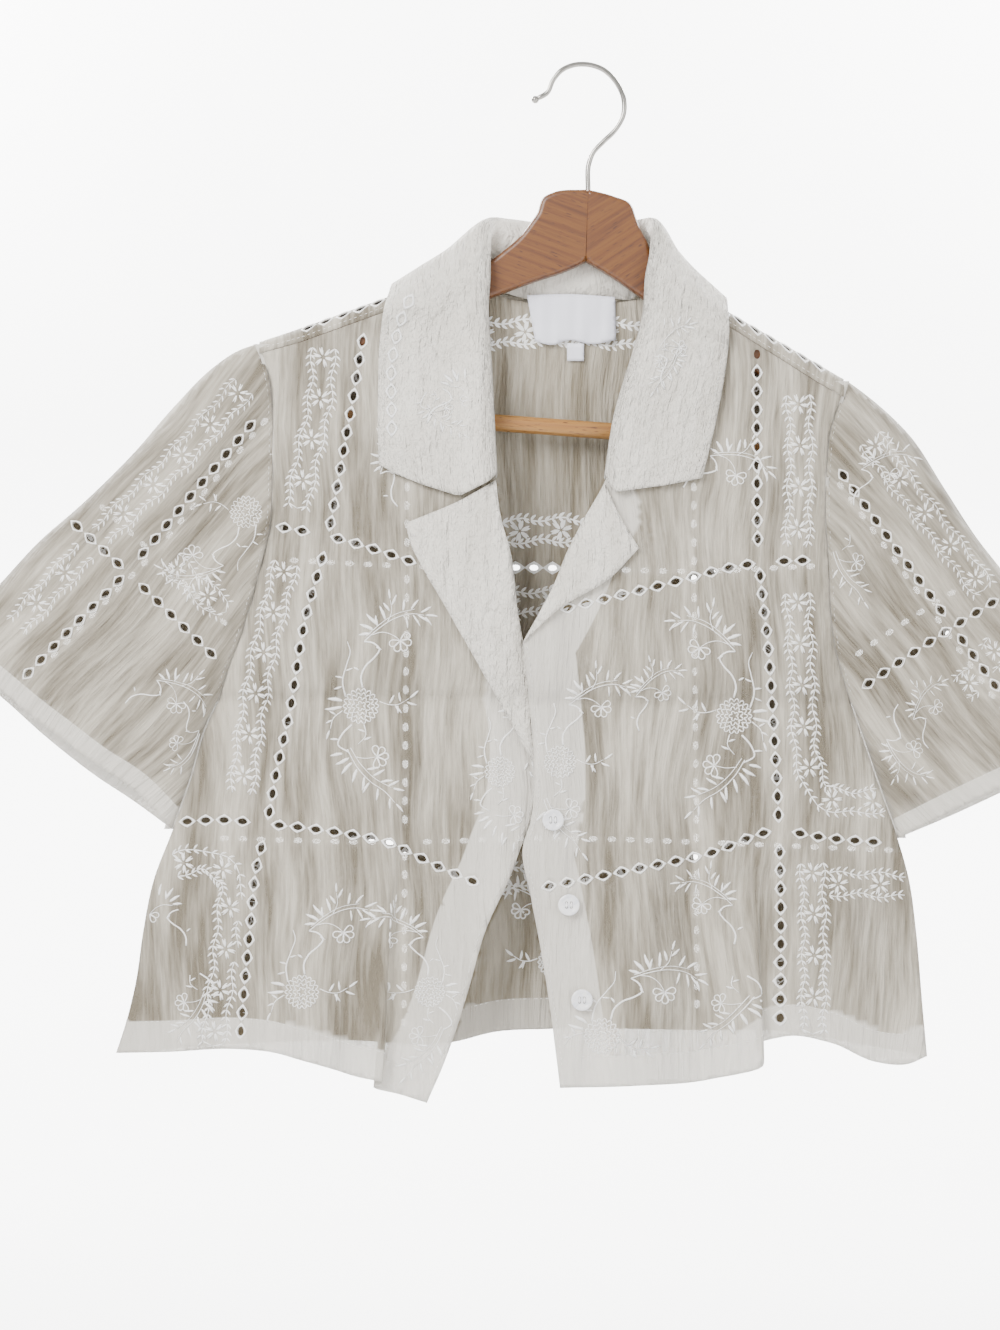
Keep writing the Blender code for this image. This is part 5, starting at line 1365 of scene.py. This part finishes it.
def make_front(side):
    table, place, turn, ladders = {
        "right": (FRONT_RIGHT, place_front_right, TURN_RIGHT[0], LADDERS_FRONT_RIGHT),
        "left": (FRONT_LEFT, place_front_left, TURN_LEFT[0], LADDERS_FRONT_LEFT)}[side]
    name = "front_" + side
    edges = front_edges(side)
    _, closed = ring_of(edges)
    edge = np.vstack([smoothed(table["neck"], 12)[-9:], smoothed(table["front"], 12)[1:]])
    hem = smoothed(table["hem"], 6)
    hem_line = hem + (0, HEM_DEPTH)
    borders = [beside_line(smoothed(edge, 2), AWAY[side] * (FACING + d)) for d in BORDER]
    borders += [smoothed(table["hem"], 2) + (0, HEM_DEPTH + d) for d in BORDER]
    piece, *holes = cut_cloth("cloth_" + name, edges, place, 1, ladders,
                                   rows=fold_rows(turn) + borders,
                                   doubled=((edge, FACING), (hem, HEM_DEPTH)))
    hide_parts(name)
    sewn = embroider(name, name, closed, ladders, holes, place, 1, 0.25)
    seams = Threads()
    run_of_stitches(seams, hem_line[2:-2])
    run_of_stitches(seams, beside_line(edge, AWAY[side] * 3.0)[1:-1])
    stitching = seams.sew("stitching_" + name, place, 1, thread(), lift=0.25)


def make_back():
    """The back, with the shoulder strips that go over to the front seams."""
    edges = []
    for side, end in (("right", BACK_NECK[-1]), ("left", BACK_NECK[0])):
        strip = shoulder(side, False)
        x0 = np.full(len(TURNS), strip[0][0])
        over = np.column_stack([x0, strip_z(x0, TURNS)])
        x1 = np.full(len(TURNS), strip[-1][0])
        inner = np.column_stack([x1, strip_z(x1, TURNS)])
        edges.append([np.vstack([[strip[0]], over, smoothed(SLEEVES[side][1], 3.5)[1:]]),
                      smoothed(SLEEVES[side][2], 3.5), strip,
                      np.vstack([[strip[-1]], inner, [end]])])
    arm_right, side_right, strip_right, neck_right = edges[0]
    arm_left, side_left, strip_left, neck_left = edges[1]
    outline = [arm_right, side_right, smoothed(BACK_HEM, 3), side_left[::-1],
               arm_left[::-1], strip_left, neck_left, smoothed(BACK_NECK, 3.5),
               neck_right[::-1], strip_right[::-1]]
    _, closed = ring_of(outline)
    hem = smoothed(BACK_HEM, 6)
    strips = [np.column_stack([np.array(line)[:, 0],
                               strip_z(np.array(line)[:, 0], -0.5 * np.ones(len(line)))])
              for line in LADDERS_STRIP]
    ladders = list(LADDERS_BACK) + strips
    fronts = [ring_of(front_edges(side))[1] for side in ("right", "left")]

    def behind(flat):
        """How much shade falls inside: all of it where a front panel lies before the back."""
        px, py, pz = place_back(flat[:, 0], flat[:, 1])
        seen = np.column_stack([px, pz])
        hidden = np.max([inside(seen, front) for front in fronts], axis=0)
        return (py > 0) * (0.25 + 0.75 * hidden)

    border = [smoothed(BACK_HEM, 2) + (0, HEM_DEPTH + d) for d in BORDER]
    piece, *holes = cut_cloth("cloth_back", outline, place_back_fine, -1, ladders,
                              rows=border, doubled=((hem, HEM_DEPTH),), shade=behind)
    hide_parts("back")
    sewn = embroider("back", "back", closed, ladders, holes, place_back_fine, -1)
    seams = Threads(closed)
    run_of_stitches(seams, (hem + (0, HEM_DEPTH))[2:-2])
    run_of_stitches(seams, strip_right[1:-1] - (0, 3))
    run_of_stitches(seams, strip_left[1:-1] - (0, 3))
    stitching = seams.sew("stitching_back", place_back_fine, -1, thread())


def make_sleeve(side, layer):
    table = SLEEVES[side][0]
    name = "sleeve_%s_%s" % (side, layer)
    away = AWAY[side]
    hem = smoothed(table["hem"] if layer == "front" else table["hem_back"], 3.5)
    seam = smoothed(SLEEVES[side][1], 3.5) + (away * 2 * GAP, 0)
    low = underarm(side, 3.5)
    low = np.vstack([[seam[-1]], low[1:]])
    top = smoothed(np.vstack([[seam[0]], table["top"][1:]]), 3.5)
    outline = [top, hem, low[::-1], seam[::-1]]
    _, closed = ring_of(outline)
    sign = -1 if layer == "front" else 1
    place, outward = place_sleeve(side, sign), -sign
    ladders = LADDERS_SLEEVE_RIGHT if side == "right" else LADDERS_SLEEVE_LEFT
    if layer == "back":
        ladders = [np.array(line) + BACK_LADDER_SHIFT[side] for line in ladders]
    near = [beside_line(top, -away * d)[1:-1] for d in (-1, -2.2)]
    near += [inset(smoothed(hem, 2), closed, SLEEVE_HEM + d) for d in BORDER]
    # painted shade: the back layer's inner side is shaded, fading out towards its hem
    piece, *holes = cut_cloth("cloth_" + name, outline, place, outward, ladders,
                              rows=near, doubled=((hem, SLEEVE_HEM),),
                              shade=lambda flat: (layer == "back")
                              * ease((distance(flat, hem) - 14) / 25),
                              grain=SLEEVE_RUN[side])
    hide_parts(name)
    sewn = embroider(name, "sleeve_" + side, closed, ladders, holes, place, outward)
    seams = Threads(closed)
    run_of_stitches(seams, inset(hem, closed, SLEEVE_HEM)[2:-2])
    run_of_stitches(seams, seam[2:-2] + (away * 2.0, 0))
    stitching = seams.sew("stitching_" + name, place, outward, thread())


def make_seam(side, layer):
    """A seam allowance: a strip just inside the cloth that covers the armhole's join, or
    with the layer "under" the underarm's."""
    away = AWAY[side]
    sign = {"front": -1, "back": 1, "under": 0}[layer]
    if layer == "under":
        line, reach = underarm(side, 2.5), (5.2, -5.3)
    else:
        line, reach = smoothed(SLEEVES[side][1], 2.5), (2.2, -8.3)
    share = np.linspace(0, 1, 6)[:, None, None]
    flat = (line + (away * reach[0], 0)) * (1 - share) + (line + (away * reach[1], 0)) * share
    rows, cols = flat.shape[:2]
    flat = flat.reshape(-1, 2)
    depths = FRONT_DEPTH if layer == "front" else BACK_DEPTH
    depth = np.maximum(body_half(flat[:, 0], flat[:, 1], depths) - 1.0, 0.3) * sign
    quads = grid_quads(rows, cols)
    if away * sign > 0:
        quads = quads[:, ::-1]
    piece = mesh_object("seam_%s_%s" % (side, layer),
                        np.column_stack(seen_from(flat[:, 0], depth, flat[:, 1])), quads,
                        cloth("sheer"), flat / 100, np.ones(len(flat)))
    wall(piece, 0.3)
    long = float(np.linalg.norm(np.diff(line, axis=0), axis=1).sum()) * MM


def make_lapel(side):
    table, place = {"right": (LAPEL_RIGHT, place_front_right),
                    "left": (LAPEL_LEFT, place_front_left)}[side]
    lay = lapel_on(place, table["roll"])
    outline = [smoothed(table[k], 3) for k in ("roll", "seam", "edge")]
    _, closed = ring_of(outline)
    piece, _, _ = cut_cloth("cloth_lapel_" + side, outline, lay, 1, finish=cloth("double"),
                            thick=DOUBLE)
    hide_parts("lapel_" + side)
    seams = Threads(closed, 0.6)
    run_of_stitches(seams, inset(outline[2], closed, 4.0)[2:-2])
    run_of_stitches(seams, inset(outline[1], closed, 1.4)[2:-2])
    stitching = seams.sew("stitching_lapel_" + side, lay, 1, thread(), 0.45)


# Stations of the collar's grid, and those at either end that are drawn to its lower edge.
COLLAR_STATIONS, COLLAR_END_STATIONS = 150, 14


def collar_lines():
    """The collar's grid: stations round the neck, and a smooth line across at each."""
    table = np.array([[collar_point(s, c) for c in range(4)] for s in range(len(COLLAR))])
    cum = run_length(table[:, 1])
    points = eased_through(table, cum, np.gradient(table, cum, axis=0),
                           np.linspace(0, cum[-1], COLLAR_STATIONS))
    return clear_of_body(np.stack([smoothed_across(p) for p in points]))


def make_collar():
    """The collar's grid as one sheet, with soft creases laid on its leaf."""
    lines = collar_lines()
    rows, cols = lines.shape[:2]
    for end, step, side in ((0, 1, "right"), (rows - 1, -1, "left")):
        lower = np.array(sorted(COLLAR_END[side]))
        drop = np.interp(lines[end, 3:, 0], lower[:, 0], lower[:, 1]) - lines[end, 3:, 2]
        for k in range(COLLAR_END_STATIONS):
            lines[end + k * step, 3:, 2] += ease(1 - k / COLLAR_END_STATIONS) * drop
    i, j = np.meshgrid(np.arange(rows), np.arange(cols), indexing="ij")
    leaf = ease((j - 9) / 6.0)
    crease = 0.5 * np.sin(i / 2.1 + 1.2 * np.sin(j / 3.0)) + 0.6 * np.sin(i / 5.3 + j / 4.0)
    front = lines[..., 1] < -3
    lines[..., 1] -= np.abs(crease) * leaf * np.where(front, 1.0, -1.0) * 1.1
    flat = np.column_stack(seen_from(*lines.reshape(-1, 3).T))
    uv = np.column_stack([j.ravel() * 0.04, i.ravel() * 0.033])
    piece = mesh_object("cloth_collar", flat, grid_quads(rows, cols), cloth("double"), uv)
    wall(piece, DOUBLE)
    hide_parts("collar")
    shown = (lines[..., 1] < -3) & (j > 10)
    near = lines[shown]

    def place(x, z):
        """Depth on the collar's leaf, by the six nearest points of its grid."""
        depth = np.zeros(len(x))
        for k in range(0, len(x), 4000):
            gap = ((x[k:k + 4000, None] - near[None, :, 0]) ** 2
                   + (z[k:k + 4000, None] - near[None, :, 2]) ** 2)
            six = np.argpartition(gap, 6, axis=1)[:, :6]
            weight = 1 / (np.take_along_axis(gap, six, 1) + 2.0)
            depth[k:k + 4000] = (near[six, 1] * weight).sum(1) / weight.sum(1)
        return x, depth, z

    for side, half in (("right", range(0, rows // 3)), ("left", range(rows - 1, 2 * rows // 3, -1))):
        half = [r for r in half if lines[r, 12, 1] < -4]
        edge = lines[half, cols - 1][:, (0, 2)]
        roll = lines[half, 9][:, (0, 2)]
        ring = np.vstack([edge, roll[::-1], edge[:1]])
        threads = Threads(ring, 2.0)
        for row in COLLAR_SPRAYS[side]:
            spray(threads, *row)
        for line in COLLAR_LADDERS[side]:
            threads.rims(*eyelet_places(line, ring, ()))
        threads.sew("embroidery_collar_" + side, place, 1, thread(),
                                  0.85)
        seams = Threads(ring, 0.4)
        run_of_stitches(seams, inset(edge, ring, 4.0)[2:-2])
        seams.sew("stitching_collar_" + side, place, 1, thread(),
                                0.85)


def make_buttons():
    """Turned buttons with a raised rim, four holes and the thread that holds them.

    The depth of the face is read by radius from a profile of the turned shape."""
    rings = (0.0, 1.0, 2.9, 3.9, 4.7, 5.4, 6.0, 6.5, 6.85, 7.0)
    dip = (0.75, 0.75, 0.7, 0.6, 0.35, 0.08, 0.0, 0.1, 0.35, 0.8)
    hole_out, hole_radius = 1.55, 0.85
    a = 2 * math.pi * np.arange(40) / 40
    loops = [np.column_stack([np.cos(a), np.sin(a)]) * r for r in rings[2:]]
    b = 2 * math.pi * np.arange(12) / 12
    holes = [np.column_stack([sx * hole_out + hole_radius * np.cos(b),
                              sz * hole_out + hole_radius * np.sin(b)])
             for sx in (-1, 1) for sz in (-1, 1)]
    rounds = [loops[-1]] + holes + loops[:-1]
    out = delaunay_2d_cdt(np.vstack(rounds + [[(0, 0)]]).tolist(), ring_edges(rounds),
                          [], 0, 1e-5)
    flat, tris = np.array([tuple(v) for v in out[0]]), np.array(out[2])
    for hole in holes:
        tris = tris[~inside(flat[tris].mean(1), np.vstack([hole, hole[:1]]))]
    tris = np.where(twice_area(flat, tris)[:, None] < 0, tris[:, ::-1], tris)
    n = len(flat)
    faces = tris.tolist() + (tris[:, ::-1] + n).tolist()
    owner = {(t[i], t[(i + 1) % 3]) for t in tris.tolist() for i in range(3)}
    for i, j in sorted(owner):
        if (j, i) not in owner:
            faces += [[i, i + n, j + n], [i, j + n, j]]
    r = np.hypot(flat[:, 0], flat[:, 1])
    t = np.linspace(-1, 1, 9)
    for number in (1, 2, 3):
        low, high = (np.array(corner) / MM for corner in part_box("button_%d" % number))
        mid, scale = (low + high) / 2, (high[0] - low[0]) / 2 / rings[-1]
        front = low[1] + np.interp(r, rings, dip)
        back = high[1] - np.interp(r, (0, 6, 7), (0.1, 0.1, 0.8))
        verts = np.vstack([np.column_stack([mid[0] + flat[:, 0] * scale, depth,
                                            mid[2] + flat[:, 1] * scale])
                           for depth in (front, back)])
        piece = mesh_object("shell_button_%d" % number, verts, faces, shell())
        smooth_by_angle(piece)
        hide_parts("button_%d" % number)
        for k, side in enumerate((-1, 1), 1):
            path = np.column_stack([np.full(len(t), mid[0] + side * hole_out * scale),
                                    low[1] + 0.9 * t ** 4, mid[2] + t * 1.75 * scale])
            tie = tube("button_thread_%d_%d" % (number, k), path, 0.42, thread(), 8)


def smooth_by_angle(obj, degrees=40):
    """Marks edges sharper than this as sharp, so that the rest shade smoothly."""
    obj.data.set_sharp_from_angle(angle=math.radians(degrees))


def tube(name, path, radius, finish, sides=20):
    """A round cord along a path in space; the radius may vary by station."""
    path = np.asarray(path, float)
    radius = np.broadcast_to(radius, len(path))
    run = np.gradient(path, axis=0)
    run /= np.linalg.norm(run, axis=1)[:, None]
    first = np.cross(run, (0.3, 1, 0.1))
    first /= np.linalg.norm(first, axis=1)[:, None]
    second = np.cross(run, first)
    a = 2 * math.pi * np.arange(sides) / sides
    verts = path[:, None] + radius[:, None, None] * (np.cos(a)[None, :, None] * first[:, None]
                                                    + np.sin(a)[None, :, None] * second[:, None])
    stations = len(path)
    i, j = np.meshgrid(np.arange(stations - 1), np.arange(sides), indexing="ij")
    n = (j + 1) % sides
    quads = np.stack([i * sides + j, i * sides + n, (i + 1) * sides + n, (i + 1) * sides + j],
                     -1).reshape(-1, 4).tolist()
    quads += [list(range(sides))[::-1], list(range((stations - 1) * sides, stations * sides))]
    return mesh_object(name, verts.reshape(-1, 3), quads, finish)


def make_arm(side, finish):
    """One arm of the hanger: its outline, planed flat on both faces, with rounded edges.

    Along the edge a point moves in by r(1 - sin a) while its depth falls by r(1 - cos a),
    a from 0 to 90 degrees.  The glued face where the arms meet stays sharp, and its joint
    opens a little towards the bottom."""
    turn, outline = (1, WOOD_RIGHT) if side == "right" else (-1, WOOD_LEFT)
    outline = smoothed(outline, 2.5)
    outline[[0, -1], 0] = JOINT_X - turn * np.array(JOINT_OPEN)
    run = np.gradient(outline, axis=0)
    inward = turn * np.column_stack([-run[:, 1], run[:, 0]])
    inward /= np.linalg.norm(inward, axis=1)[:, None]
    inward[0], inward[-1] = (0, -1), (0, 1)
    half = by_x(outline[:, 0], *WOOD_THICKNESS) / 2
    a = np.radians(np.linspace(0, 90, 6))
    shift = WOOD_ROUND * (1 - np.sin(a))
    drop = WOOD_ROUND * (1 - np.cos(a))
    shift = np.r_[shift, shift[::-1]]
    depth = np.vstack([drop[:, None] - half, half - drop[::-1, None]])
    flat = outline + inward * shift[:, None, None]
    verts = np.stack([flat[..., 0], depth, flat[..., 1]], -1)
    rings, count = depth.shape
    faces = grid_quads(rings, count).tolist()
    start = np.arange(rings) * count
    faces += [list(range(count)), list(range(rings * count - 1, (rings - 1) * count - 1, -1)),
              (start + count - 1).tolist() + start[::-1].tolist()]
    if turn < 0:
        faces = [f[::-1] for f in faces]
    rounded = np.arange(len(faces)) < len(faces) - 3
    piece = mesh_object("wood_arm_" + side, verts.reshape(-1, 3), faces, finish,
                        smooth=rounded)
    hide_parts("hanger_arm_" + side)


def make_hanger():
    """The arms and the hook are drawn finer; the bar's solid keeps its shape."""
    tones = ((0.25, "#401E02"), (0.42, "#562D05"), (0.58, "#643A0B"), (0.8, "#4A2503"))
    for side, along in (("right", -20.0), ("left", 33.0)):
        make_arm(side, wood("waxed_beech_" + side, tones, along, 3.2))
    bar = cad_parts["hanger_bar"]
    bar.data.materials.clear()
    light = ((0.25, "#7C4E17"), (0.45, "#8E6028"), (0.6, "#9A6E34"), (0.8, "#83551E"))
    bar.data.materials.append(wood("turned_beech", light, -4.0, 4.0))
    line = smoothed(WIRE, 1.2)
    path = np.column_stack([line[:, 0], np.zeros(len(line)), line[:, 1]])
    tip = path[0] - path[1]
    tip /= np.linalg.norm(tip)
    t = np.linspace(0, math.pi, 12)[:-2]
    ball = path[0] + tip * (0.9 + 2.5 * np.cos(t))[:, None]
    radius = np.r_[np.maximum(2.5 * np.sin(t), 0.1), np.full(len(path) - 2, 1.7)]
    piece = tube("steel_hook", np.vstack([ball, path[2:]]), radius, polished_steel(), 24)
    smooth_by_angle(piece)
    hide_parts("hanger_hook")


def make_labels():
    """Three blank ribbons; the neck label curls forward along its free edge."""
    def on_back(x, z):
        px, py, pz = place_back_fine(x, z)
        return px, py - 1.8, pz

    def curled(x, z):
        px, py, pz = on_back(x, z)
        low = ease((-163 - z) / 16)
        return px, py - low * (1.2 + 0.9 * np.sin((x + 38) / 7.5)), pz

    def behind_front(x, z):
        px, py, pz = place_front_left(x, z)
        return px, py + 1.7, pz

    def sides(corners):
        return [smoothed((corners[i], corners[(i + 1) % 4]), 3) for i in range(4)]

    label = [smoothed(run, 3) for run in (LABEL[:3], LABEL[2:4], LABEL[3:8],
                                          (LABEL[7], LABEL[0]))]
    for name, edges, place in (("neck_label", label, curled),
                               ("size_tag", sides(SIZE_TAG), on_back),
                               ("care_label", sides(CARE_LABEL), behind_front)):
        piece, _, _ = cut_cloth("ribbon_" + name, edges, place, 1, step=2.2, finish=ribbon(),
                                thick=RIBBON)
        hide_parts(name)
        if name == "neck_label":
            seams = Threads(ring_of(edges)[1], 0.3)
            run_of_stitches(seams, edges[0] - (0, 1.6), 1.8, 2.4, 0.45)
            seams.sew("stitching_label", place, 1, thread(), 0.18)


def make_stage():
    """A seamless pale sweep: a wall that rounds into a floor, with soft studio light."""
    t = np.linspace(0, math.pi / 2, 16)
    y = np.r_[-3.6, 2.6 + 1.2 * np.sin(t), 3.8]
    z = np.r_[-1.15, -1.15 + 1.2 * (1 - np.cos(t)), 3.2]
    x = np.linspace(-4.5, 4.5, 5)
    gx, gi = np.meshgrid(x, np.arange(len(y)), indexing="ij")
    verts = np.stack([gx, y[gi], z[gi]], -1).reshape(-1, 3)
    mesh = bpy.data.meshes.new("sweep")
    mesh.from_pydata(verts.tolist(), [], grid_quads(len(x), len(y)).tolist())
    mesh.polygons.foreach_set("use_smooth", np.ones(len(mesh.polygons), bool))
    mat, tree, shader = finish_tree("matt_paper", Roughness=0.9)
    place = node(tree, "ShaderNodeTexCoord").outputs["Object"]
    tone = node(tree, "ShaderNodeTexNoise", {"Vector": place, "Scale": 1.5})
    paper = ramp(tree, tone.outputs[0], ((0.3, "#F6F6F5"), (0.7, "#FBFBFA")))
    tree.links.new(paper.outputs[0], shader.inputs["Base Color"])
    mesh.materials.append(mat)
    sweep = bpy.data.objects.new("sweep", mesh)
    bpy.context.scene.collection.objects.link(sweep)
    sweep.visible_diffuse = False
    own = settings()
    for name, at, size, power, aim in (
            ("key", (-1.5, -2.1, 1.0), 1.6, own.key, (-0.05, 0, -0.4)),
            ("fill", (1.9, -2.0, -0.1), 1.8, own.fill, (-0.05, 0, -0.4)),
            ("wall_left", (-2.3, 2.2, 1.9), 1.4, own.wall, (-0.4, 3.7, -0.4)),
            ("wall_right", (2.3, 2.2, 1.9), 1.4, own.wall, (0.4, 3.7, -0.4))):
        light = bpy.data.lights.new(name, "AREA")
        light.shape, light.size, light.energy = "DISK", size, power
        obj = bpy.data.objects.new(name, light)
        obj.location = at
        direction = Vector(aim) - Vector(at)
        obj.rotation_euler = direction.to_track_quat("-Z", "Y").to_euler()
        bpy.context.scene.collection.objects.link(obj)
    world = bpy.data.worlds.new("studio")
    world.use_nodes = True
    sky = world.node_tree.nodes["Background"]
    sky.inputs["Color"].default_value = (1.0, 1.0, 1.0, 1)
    sky.inputs["Strength"].default_value = own.ambient
    bpy.context.scene.world = world
    camera = bpy.data.cameras.new("camera")
    camera.sensor_width = 36.0
    camera.lens = 36.0 * VIEW_FAR / (1330 * PIXEL)
    camera.clip_start, camera.clip_end = 0.05, 20.0
    obj = bpy.data.objects.new("camera", camera)
    obj.location = (VIEW_X * MM, -VIEW_FAR * MM, VIEW_Z * MM)
    obj.rotation_euler = (math.pi / 2, 0, 0)
    bpy.context.scene.collection.objects.link(obj)
    bpy.context.scene.camera = obj


# Add-on.

def size(name, text, default, low, high):
    return FloatProperty(name=name, description=text, default=default, min=low, max=high,
                         unit="LENGTH", precision=5)


def colour(name, text, code):
    return FloatVectorProperty(name=name, description=text, default=linear(code),
                               min=0.0, max=1.0, subtype="COLOR")


def amount(name, text, default, low=0.0, high=1.0):
    return FloatProperty(name=name, description=text, default=default, min=low, max=high)


class BlouseCloth(bpy.types.PropertyGroup):
    """Cloth: its colours, how much it covers, and its creases."""
    sheer_low: colour("Sheer, shaded", "Single cloth in its creases", "#7B7261")
    sheer_high: colour("Sheer, lit", "Single cloth on its ridges", "#CAC2B2")
    double_low: colour("Double, shaded", "Doubled cloth in its creases", "#C9C3B7")
    double_high: colour("Double, lit", "Doubled cloth on its ridges", "#E5E0D6")
    # painted shade: dark colour given to the inner side of a layer behind another, standing in for
    # the shade between the layers
    inside: colour("Inside", "Inner side of cloth behind another layer", "#75684F")
    cover: amount("Cover", "Share of the view that one surface of single cloth hides", 0.7)
    crinkle: size("Crinkle", "Height of the fine lengthwise creases", 0.001, 0.0, 0.004)


class BlouseWork(bpy.types.PropertyGroup):
    """Eyelets and embroidery: their sizes and the thread's colours."""
    eyelet_length: size("Eyelet length", "Hole along the ladder", 0.0062, 0.003, 0.012)
    eyelet_width: size("Eyelet width", "Hole across the ladder", 0.0043, 0.002, 0.01)
    eyelet_pitch: size("Eyelet pitch", "From one eyelet to the next", 0.012, 0.008, 0.03)
    eyelet_rim: size("Rim width", "Satin stitch round a hole", 0.0021, 0.0005, 0.004)
    stitch_height: size("Stitch height", "How far the stitches stand up", 0.0007, 0.0001, 0.002)
    thread_low: colour("Thread, shaded", "Embroidery thread, darker", "#F0EEE9")
    thread_high: colour("Thread, lit", "Embroidery thread, lighter", "#FFFEFC")


class BlouseLight(bpy.types.PropertyGroup):
    """Studio light: the power of each lamp in watts and the light all round."""
    key: amount("Key", "Large lamp at the upper left", 135.0, 0.0, 2000.0)
    fill: amount("Fill", "Large lamp at the right", 34.0, 0.0, 2000.0)
    wall: amount("Wall", "Each lamp on the backdrop", 700.0, 0.0, 2000.0)
    ambient: amount("Ambient", "Light from the room", 1.45, 0.0, 5.0)


class Settings:
    """The values of all three groups, read by name."""

    def __getattr__(self, name):
        scene = bpy.context.scene
        for group in (scene.blouse_cloth, scene.blouse_work, scene.blouse_light):
            if name in group.bl_rna.properties:
                value = getattr(group, name)
                return tuple(value) if hasattr(value, "__len__") else value
        raise AttributeError(name)


def settings():
    return Settings()


class MakePiece:
    """What every operator here shares."""
    bl_options = {"REGISTER", "UNDO"}


class BLOUSE_OT_hanger(MakePiece, bpy.types.Operator):
    """Finish the wooden hanger and draw its steel hook"""
    bl_idname = "blouse.hanger"
    bl_label = "Hanger"

    def execute(self, context):
        make_hanger()
        return {"FINISHED"}


class BLOUSE_OT_back(MakePiece, bpy.types.Operator):
    """Make the back with its shoulder strips, eyelets and embroidery"""
    bl_idname = "blouse.back"
    bl_label = "Back"

    def execute(self, context):
        make_back()
        return {"FINISHED"}


class BLOUSE_OT_fronts(MakePiece, bpy.types.Operator):
    """Make both front panels with their eyelets and embroidery"""
    bl_idname = "blouse.fronts"
    bl_label = "Fronts"

    def execute(self, context):
        make_front("right")
        make_front("left")
        return {"FINISHED"}


class BLOUSE_OT_sleeves(MakePiece, bpy.types.Operator):
    """Make both layers of both sleeves"""
    bl_idname = "blouse.sleeves"
    bl_label = "Sleeves"

    def execute(self, context):
        for side in ("right", "left"):
            for layer in ("front", "back"):
                make_sleeve(side, layer)
                make_seam(side, layer)
            make_seam(side, "under")
        return {"FINISHED"}


class BLOUSE_OT_collar(MakePiece, bpy.types.Operator):
    """Make the collar and both lapels"""
    bl_idname = "blouse.collar"
    bl_label = "Collar and lapels"

    def execute(self, context):
        make_collar()
        make_lapel("right")
        make_lapel("left")
        return {"FINISHED"}


class BLOUSE_OT_trims(MakePiece, bpy.types.Operator):
    """Make the buttons and the blank labels"""
    bl_idname = "blouse.trims"
    bl_label = "Buttons and labels"

    def execute(self, context):
        make_buttons()
        make_labels()
        return {"FINISHED"}


class BLOUSE_OT_stage(MakePiece, bpy.types.Operator):
    """Set the sweep, the lamps and the camera"""
    bl_idname = "blouse.stage"
    bl_label = "Stage"

    def execute(self, context):
        make_stage()
        return {"FINISHED"}


OPERATORS = (BLOUSE_OT_stage, BLOUSE_OT_hanger, BLOUSE_OT_back, BLOUSE_OT_fronts,
             BLOUSE_OT_sleeves, BLOUSE_OT_collar, BLOUSE_OT_trims)


class BLOUSE_PT_panel(bpy.types.Panel):
    """Sizes, colours and steps of the blouse"""
    bl_label = "Cropped blouse"
    bl_idname = "BLOUSE_PT_panel"
    bl_space_type = "VIEW_3D"
    bl_region_type = "UI"
    bl_category = "Blouse"

    def draw(self, context):
        for name in GROUPS:
            group = getattr(context.scene, name)
            box = self.layout.box()
            for prop in group.bl_rna.properties.keys():
                if prop not in ("rna_type", "name"):
                    box.prop(group, prop)
        for operator in OPERATORS:
            self.layout.operator(operator.bl_idname)


GROUPS = {"blouse_cloth": BlouseCloth, "blouse_work": BlouseWork, "blouse_light": BlouseLight}


def register():
    for group in GROUPS.values():
        bpy.utils.register_class(group)
    for operator in (*OPERATORS, BLOUSE_PT_panel):
        bpy.utils.register_class(operator)
    for name, group in GROUPS.items():
        setattr(bpy.types.Scene, name, PointerProperty(type=group))


def unregister():
    for name in GROUPS:
        delattr(bpy.types.Scene, name)
    for made in (BLOUSE_PT_panel, *OPERATORS[::-1], *GROUPS.values()):
        bpy.utils.unregister_class(made)


def main():
    register()
    for operator in OPERATORS:
        category, name = operator.bl_idname.split(".")
        getattr(getattr(bpy.ops, category), name)()


if __name__ == "__main__":
    main()
